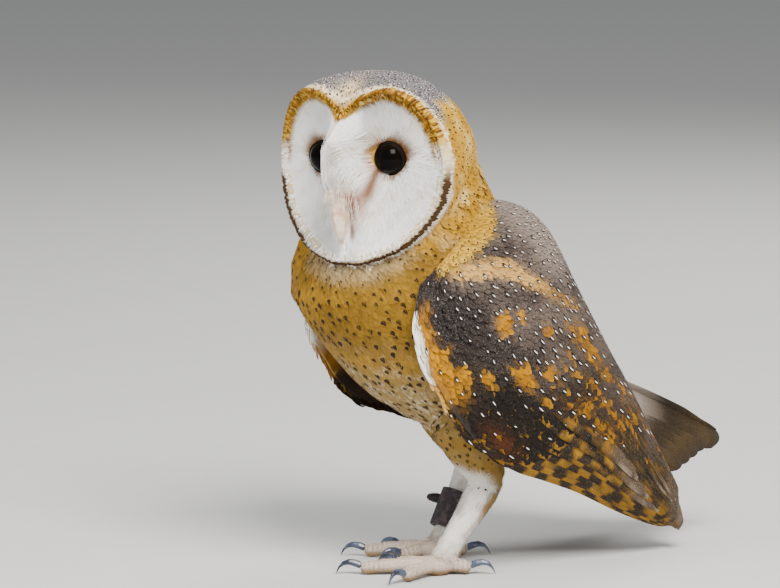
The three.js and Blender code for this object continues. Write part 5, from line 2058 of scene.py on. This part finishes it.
@dataclass
class Eyes:
    """Two wet dark eyes with folded lids."""

    rings: int = 40
    spokes: int = 72

    def build(self, wet: bpy.types.Material, lid: bpy.types.Material) -> None:
        """Makes both eyes and their lids.

        Args:
            wet: Finish of the eyes.
            lid: Finish of the lids.
        """
        left, upward, ahead = HEAD.axes()
        for name, sign in SIDES.items():
            centre = HEAD.place(sign * EYE["side"], EYE["up"], EYE["ahead"])
            out = unit(ahead + 0.02 * sign * left - 0.12 * upward)
            over = unit(upward - out * (upward @ out))
            across = np.cross(over, out)
            angle = np.linspace(0, 2 * math.pi, self.spokes, endpoint=False)
            polar = np.linspace(0, math.pi, self.rings + 1)
            ring = np.cos(angle)[:, None] * across + np.sin(angle)[:, None] * over
            ball = centre + EYE["radius"] * (
                np.cos(polar)[:, None, None] * out + np.sin(polar)[:, None, None] * ring[None]
            )
            iris = ramp(0.62, 0.70, polar) * ramp(1.12, 0.98, polar)
            tint = mix(np.array([0.002, 0.002, 0.002]), srgb(12, 7, 4), np.repeat(iris[:, None], self.spokes, 1))
            faces = ring_faces(self.rings + 1, self.spokes)
            piece = make_mesh(f"{name}_eyeball", ball.reshape(-1, 3), self._outward(ball, faces, centre), wet,
                              {"tint": tint.reshape(-1, 3)})
            weld = piece.modifiers.new("close the poles", "WELD")
            weld.merge_threshold = 0.00002
            bake_modifiers(piece)
            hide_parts(f"{name}_eye")
            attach(piece, "root")
            self._lid(name, sign, centre, out, over, across, angle, lid)

    @staticmethod
    def _outward(grid: np.ndarray, faces: np.ndarray, centre: np.ndarray) -> np.ndarray:
        """The faces, turned to point away from the centre."""
        points = grid.reshape(-1, 3)
        face = faces[len(faces) // 2]
        normal = np.cross(points[face[1]] - points[face[0]], points[face[2]] - points[face[1]])
        return faces if normal @ (points[face[0]] - centre) > 0 else faces[:, ::-1]

    def _lid(
        self, name: str, sign: float, centre: np.ndarray, out: np.ndarray, over: np.ndarray, across: np.ndarray,
        angle: np.ndarray, material: bpy.types.Material,
    ) -> None:
        """The lids: a rim on the ball, a crease and a soft outer fold."""
        upper = np.sin(angle)
        opening = math.radians(66) - math.radians(4) * np.maximum(upper, 0) ** 2 + math.radians(1.5) * np.cos(2 * angle)
        section = (
            (-0.03, -0.35), (0.0, 0.22), (0.045, 0.62), (0.11, 0.72), (0.17, 0.5), (0.22, 0.28),
            (0.30, 0.45), (0.42, 0.25), (0.52, -1.3), (0.30, -1.6), (0.05, -1.1),
        )
        rings = []
        for widen, height in section:
            polar = opening + widen
            reach = EYE["radius"] + height
            ring = np.cos(angle)[:, None] * across + np.sin(angle)[:, None] * over
            rings.append(centre + reach * (np.cos(polar)[:, None] * out + np.sin(polar)[:, None] * ring))
        rings.append(rings[0])
        grid = np.stack(rings)
        faces = ring_faces(len(rings), self.spokes)
        piece = make_mesh(f"{name}_eyelids", grid.reshape(-1, 3), faces, material)
        weld = piece.modifiers.new("close the ring", "WELD")
        weld.merge_threshold = 0.00002
        bake_modifiers(piece)
        face_outward(piece)
        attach(piece, "root")


def face_outward(piece: bpy.types.Object) -> None:
    """Turns a closed mesh inside out if its volume is negative."""
    mesh = piece.data
    mesh.calc_loop_triangles()
    co = np.empty(len(mesh.vertices) * 3, np.float32)
    mesh.vertices.foreach_get("co", co)
    tri = np.empty(len(mesh.loop_triangles) * 3, np.int32)
    mesh.loop_triangles.foreach_get("vertices", tri)
    a, b, c = (co.reshape(-1, 3)[tri.reshape(-1, 3)[:, k]].astype(float) for k in range(3))
    if np.sum(np.cross(a, b) * c) < 0:
        mesh.flip_normals()


@dataclass
class Refined:
    """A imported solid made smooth: remeshed finely, softened and given its finish."""

    node: str
    slot: str
    voxel: float = 0.3
    passes: int = 8
    name: str = ""

    def build(self, material: bpy.types.Material) -> bpy.types.Object:
        """Makes the smooth piece.

        Args:
            material: Its finish.

        Returns:
            The piece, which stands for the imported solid.
        """
        piece = bpy.data.objects.new(self.name or self.node + "_fine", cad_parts[self.node].data.copy())
        bpy.context.scene.collection.objects.link(piece)
        remesh = piece.modifiers.new("remesh", "REMESH")
        remesh.mode = "VOXEL"
        remesh.voxel_size = self.voxel * MM
        soften = piece.modifiers.new("soften", "SMOOTH")
        soften.factor, soften.iterations = 0.5, self.passes
        bake_modifiers(piece)
        mesh = piece.data
        mesh.polygons.foreach_set("use_smooth", np.ones(len(mesh.polygons), bool))
        mesh.materials.clear()
        mesh.materials.append(material)
        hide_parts(self.node)
        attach(piece, "root")
        return piece


@dataclass
class Bristles:
    """Stiff hairs set at points, each aimed its own way, made with geometry nodes."""

    name: str
    slot: str
    roots: np.ndarray
    aims: np.ndarray
    lengths: np.ndarray
    radius: float = 0.11

    def build(self, material: bpy.types.Material) -> bpy.types.Object:
        """Makes the bristles.

        Args:
            material: Their finish.

        Returns:
            The piece.
        """
        mesh = bpy.data.meshes.new(self.name)
        mesh.vertices.add(len(self.roots))
        mesh.vertices.foreach_set("co", PLACE.to_row(self.roots).astype(np.float32).ravel())
        mesh.attributes.new("aim", "FLOAT_VECTOR", "POINT").data.foreach_set("vector", self.aims.astype(np.float32).ravel())
        mesh.attributes.new("reach", "FLOAT", "POINT").data.foreach_set("value", (self.lengths * MM).astype(np.float32))
        piece = bpy.data.objects.new(self.name, mesh)
        bpy.context.scene.collection.objects.link(piece)
        modifier = piece.modifiers.new("bristles", "NODES")
        tree = self._tree()
        modifier.node_group = tree
        sockets = {item.name: item.identifier for item in tree.interface.items_tree if item.item_type == "SOCKET"}
        modifier[sockets["Radius"]] = self.radius * MM
        modifier[sockets["Finish"]] = material
        bake_modifiers(piece)
        piece.data.materials.clear()
        piece.data.materials.append(material)
        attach(piece, "root")
        return piece

    @staticmethod
    def _tree() -> bpy.types.NodeTree:
        """Node tree that sets a thin cone on every point."""
        name = "bristles on points"
        if name in bpy.data.node_groups:
            return bpy.data.node_groups[name]
        tree = bpy.data.node_groups.new(name, "GeometryNodeTree")
        tree.interface.new_socket("Geometry", in_out="INPUT", socket_type="NodeSocketGeometry")
        tree.interface.new_socket("Radius", in_out="INPUT", socket_type="NodeSocketFloat")
        tree.interface.new_socket("Finish", in_out="INPUT", socket_type="NodeSocketMaterial")
        tree.interface.new_socket("Geometry", in_out="OUTPUT", socket_type="NodeSocketGeometry")
        kit = NodeKit(tree)
        entry, leave = kit.add("NodeGroupInput"), kit.add("NodeGroupOutput")
        cone = kit.add("GeometryNodeMeshCone")
        cone.inputs["Vertices"].default_value = 4
        cone.inputs["Radius Top"].default_value = 0.0
        cone.inputs["Depth"].default_value = 1.0
        kit.link(entry.outputs["Radius"], cone.inputs["Radius Bottom"])
        aim = kit.add("GeometryNodeInputNamedAttribute", data_type="FLOAT_VECTOR")
        aim.inputs["Name"].default_value = "aim"
        reach = kit.add("GeometryNodeInputNamedAttribute", data_type="FLOAT")
        reach.inputs["Name"].default_value = "reach"
        turn = kit.add("FunctionNodeAlignRotationToVector", axis="Z")
        kit.link(aim.outputs[0], turn.inputs["Vector"])
        size = kit.add("ShaderNodeCombineXYZ")
        size.inputs[0].default_value = 1.0
        size.inputs[1].default_value = 1.0
        kit.link(reach.outputs[0], size.inputs[2])
        put = kit.add("GeometryNodeInstanceOnPoints")
        kit.link(entry.outputs["Geometry"], put.inputs["Points"])
        kit.link(cone.outputs["Mesh"], put.inputs["Instance"])
        kit.link(turn.outputs[0], put.inputs["Rotation"])
        kit.link(size.outputs[0], put.inputs["Scale"])
        real = kit.add("GeometryNodeRealizeInstances")
        kit.link(put.outputs[0], real.inputs[0])
        finish = kit.add("GeometryNodeSetMaterial")
        kit.link(real.outputs[0], finish.inputs["Geometry"])
        kit.link(entry.outputs["Finish"], finish.inputs["Material"])
        kit.link(finish.outputs[0], leave.inputs[0])
        return tree


@dataclass(frozen=True)
class BristleFinish:
    """Finish of stiff hairs."""

    name: str
    colour: tuple[float, float, float]
    other: tuple[float, float, float]

    def build(self) -> bpy.types.Material:
        """Makes the material."""
        material, kit, shader = new_material(self.name)
        where = kit.add("ShaderNodeTexCoord")
        grain = kit.noise(where.outputs["Object"], 500.0, 2.0)
        colour = kit.mix(kit.step(grain, 0.4, 0.6), tuple(srgb(*self.colour)), tuple(srgb(*self.other)))
        kit.link(colour, shader.inputs["Base Color"])
        shader.inputs["Roughness"].default_value = 0.55
        return material


# ------------------------------------------------------------------------------ studio


@dataclass
class Studio:
    """Pale floor, soft lamps and the camera."""

    azimuth: float = math.radians(60)
    elevation: float = math.radians(8)
    distance: float = 2.5
    aim: tuple[float, float, float] = (-29.0, -8.6, 148.0)
    lens: float = 209.8

    def build(self) -> None:
        """Makes the floor, the lamps, the world and the camera."""
        self._floor()
        target = Vector(PLACE.to_row(np.array(self.aim)))
        self._lamp("key lamp", target, 80, 46, 1.7, 0.8, 66.0, (1.0, 0.97, 0.92))
        self._lamp("fill lamp", target, 5, 25, 2.2, 1.8, 36.0, (0.95, 0.97, 1.0))
        self._lamp("rear lamp", target, 215, 40, 1.9, 1.2, 26.0, (1.0, 0.98, 0.95))
        world = bpy.data.worlds.new("studio")
        world.use_nodes = True
        world.node_tree.nodes["Background"].inputs[0].default_value = (0.80, 0.82, 0.85, 1)
        world.node_tree.nodes["Background"].inputs[1].default_value = 0.38
        bpy.context.scene.world = world
        camera = bpy.data.objects.new("camera", bpy.data.cameras.new("camera"))
        bpy.context.scene.collection.objects.link(camera)
        toward = Vector((
            math.sin(self.azimuth) * math.cos(self.elevation),
            -math.cos(self.azimuth) * math.cos(self.elevation),
            math.sin(self.elevation),
        ))
        camera.location = target + toward * self.distance
        camera.rotation_euler = toward.to_track_quat("Z", "Y").to_euler()
        camera.data.lens = self.lens
        camera.data.sensor_width = 36.0
        bpy.context.scene.camera = camera

    @staticmethod
    def _floor() -> None:
        """A pale floor that doesn't belong to the owl."""
        mesh = bpy.data.meshes.new("floor")
        r = 6.0
        mesh.from_pydata([(-r, -r, 0), (r, -r, 0), (r, r, 0), (-r, r, 0)], [], [(0, 1, 2, 3)])
        material, kit, shader = new_material("pale floor")
        where = kit.add("ShaderNodeTexCoord")
        grain = kit.noise(where.outputs["Object"], 60.0, 3.0)
        colour = kit.mix(grain, (0.60, 0.60, 0.58), (0.64, 0.64, 0.62))
        kit.link(colour, shader.inputs["Base Color"])
        shader.inputs["Roughness"].default_value = 0.8
        mesh.materials.append(material)
        floor = bpy.data.objects.new("floor", mesh)
        bpy.context.scene.collection.objects.link(floor)

    @staticmethod
    def _lamp(
        name: str, target: Vector, azimuth: float, elevation: float, distance: float, size: float, power: float,
        colour: tuple[float, float, float],
    ) -> None:
        """A square soft lamp aimed at the owl; angles are in degrees."""
        a, e = math.radians(azimuth), math.radians(elevation)
        way = Vector((math.sin(a) * math.cos(e), -math.cos(a) * math.cos(e), math.sin(e)))
        data = bpy.data.lights.new(name, "AREA")
        data.size, data.energy, data.color = size, power, colour
        lamp = bpy.data.objects.new(name, data)
        lamp.visible_glossy = name == "key lamp"
        lamp.location = target + way * distance
        lamp.rotation_euler = way.to_track_quat("Z", "Y").to_euler()
        bpy.context.scene.collection.objects.link(lamp)


# ------------------------------------------------------------------------------ assembly


def lashes(rng: np.random.Generator) -> tuple[np.ndarray, np.ndarray, np.ndarray]:
    """Roots, aims and lengths of the orange lashes round both eyes."""
    left, upward, ahead = HEAD.axes()
    roots, aims, lengths = [], [], []
    for sign in SIDES.values():
        angle = rng.uniform(0, 2 * math.pi, 260)
        radius = rng.uniform(9.2, 10.6, 260)
        side = sign * EYE["side"] + radius * np.cos(angle)
        up = EYE["up"] + radius * np.sin(angle)
        roots.append(HEAD.on_face(side, up) + 0.3 * ahead)
        way = np.cos(angle)[:, None] * left + np.sin(angle)[:, None] * upward + 0.28 * ahead
        aims.append(unit(way + rng.normal(0, 0.12, way.shape)))
        lengths.append(rng.uniform(1.8, 3.6, 260))
    return np.concatenate(roots), np.concatenate(aims), np.concatenate(lengths)


def bill_bristles(rng: np.random.Generator) -> tuple[np.ndarray, np.ndarray, np.ndarray]:
    """Roots, aims and lengths of the pale bristles beside the bill."""
    left, upward, ahead = HEAD.axes()
    count = 620
    sign = rng.choice([-1.0, 1.0], count)
    side = sign * rng.uniform(3.2, 7.0, count)
    up = rng.uniform(-28, -2, count)
    over_bill = rng.random(count) < 0.45
    side[over_bill] = rng.uniform(-3.4, 3.4, over_bill.sum())
    up[over_bill] = rng.uniform(-17, -8, over_bill.sum())
    roots = HEAD.on_face(side, up) + 0.2 * ahead
    way = -0.95 * upward + (sign * rng.uniform(-0.1, 0.35, count))[:, None] * left + rng.uniform(0.2, 0.5, (count, 1)) * ahead
    return roots, unit(way), rng.uniform(4.0, 8.5, count)


def toe_bristles(skin: Skin, rng: np.random.Generator) -> tuple[np.ndarray, np.ndarray, np.ndarray]:
    """Roots, aims and lengths of the sparse bristles on top of the toes."""
    roots, normals = skin.scatter(Region.TOES, 1.5, 77)
    top = (normals[:, 2] > 0.1) & (roots[:, 2] > 4)
    roots, normals = roots[top], normals[top]
    way = normals * 0.35 + np.array([0.0, -0.4, -0.25]) + rng.normal(0, 0.15, roots.shape)
    return roots, unit(way), rng.uniform(1.4, 2.8, len(roots))


def main() -> None:
    """Builds the owl piece by piece, then the studio."""
    logging.basicConfig(level=logging.INFO, format="%(message)s")
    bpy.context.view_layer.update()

    plume = PlumeFinish("soft plumage").build()
    spotted = PlumeFinish("spotted plumage", spot_size=(0.30, 0.14)).build()
    breast_spotted = PlumeFinish("breast spots", spot_size=(0.44, 0.17)).build()
    droplet = PlumeFinish("droplet plumage", spot_size=(0.30, 0.10), drop_size=(0.12, 0.12)).build()
    hair = PlumeFinish("face filaments", roughness=0.8, sheen=0.05, contrast=0.08, bump=0.05).build()
    flight = FlightFinish().build()
    claw = HornFinish("dark claw horn", (78, 88, 108), (40, 44, 56), 0.22).build()
    horn = HornFinish("pale bill horn", (226, 210, 188), (196, 160, 134), 0.4, 220.0).build()
    lid = HornFinish("eyelid rim", (10, 7, 6), (24, 15, 9), 0.75, 500.0, 0.08).build()

    skin = Skin()
    piece = skin.build(SkinFinish().build())
    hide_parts("head", *skin.flesh)
    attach(piece, "root")
    LOG.info("skin: %d faces", len(skin.faces))

    FaceDisc().build(hair)
    Ruff().build(hair)
    LOG.info("face")
    coats = (
        (Plumage("head_plumes", Region.HEAD, "plumage_head", 1.25, 201,
                 Lay(profile=SOFT_PLUME, high=1.9, rough=0.15, camber=0.08),
                 spot_gap=3.6, drop_gap=2.7, strands=0.92, strand_length=4.5), spotted),
        (Plumage("breast_plumes", Region.BODY, "plumage_breast", 1.93, 221, Lay(profile=PLUME, high=1.6, rough=0.15, camber=0.08),
                 spot_gap=5.7, strands=1.22, strand_length=6.5), breast_spotted),
        (Plumage("thigh_plumes", Region.THIGHS, "plumage_leg", 1.5, 241, Lay(profile=SOFT_PLUME, high=1.3, rough=0.15, camber=0.08),
                 spot_gap=4.6, strands=0.75, strand_length=5.5), breast_spotted),
        (Plumage("shank_plumes", Region.SHANKS, "plumage_leg", 0.8, 261,
                 Lay(profile=HAIR, columns=2, low=0.2, high=1.3, rough=0.5, fan=0.2, camber=0.0)), spotted),
    )
    for coat, marked in coats:
        made = coat.build(skin, plume, marked)
        LOG.info("%s: %s", coat.name, [len(p.data.polygons) for p in made])
    for side in SIDES:
        made = WingCoverts(side).build(plume, droplet)
        WingFeathers(side).build(flight)
        LOG.info("%s wing: %s", side, [len(p.data.polygons) for p in made])
    TailFan().build(flight)

    Eyes().build(EyeFinish().build(), lid)
    Refined("bill_upper", "bill", 0.3, 6).build(horn)
    Refined("bill_lower", "bill", 0.25, 4).build(horn)
    for side in SIDES:
        for toe in ("middle", "outer", "inner", "hind"):
            Refined(f"{side}_claw_{toe}", "claw", 0.22, 6).build(claw)
    Refined("right_anklet", "cuff_leather", 0.35, 4).build(LeatherFinish().build())
    rng = np.random.default_rng(9)
    orange = BristleFinish("ochre lashes", (112, 66, 18), (168, 110, 52)).build()
    pale = BristleFinish("pale bristles", (240, 232, 222), (222, 200, 180)).build()
    Bristles("eye_lashes", "plumage_head", *lashes(rng), 0.09).build(orange)
    Bristles("bill_bristles", "plumage_head", *bill_bristles(rng), 0.12).build(pale)
    Bristles("toe_bristles", "toe_skin", *toe_bristles(skin, rng), 0.1).build(pale)
    LOG.info("bare parts")

    Studio().build()


if __name__ == "__main__":
    main()
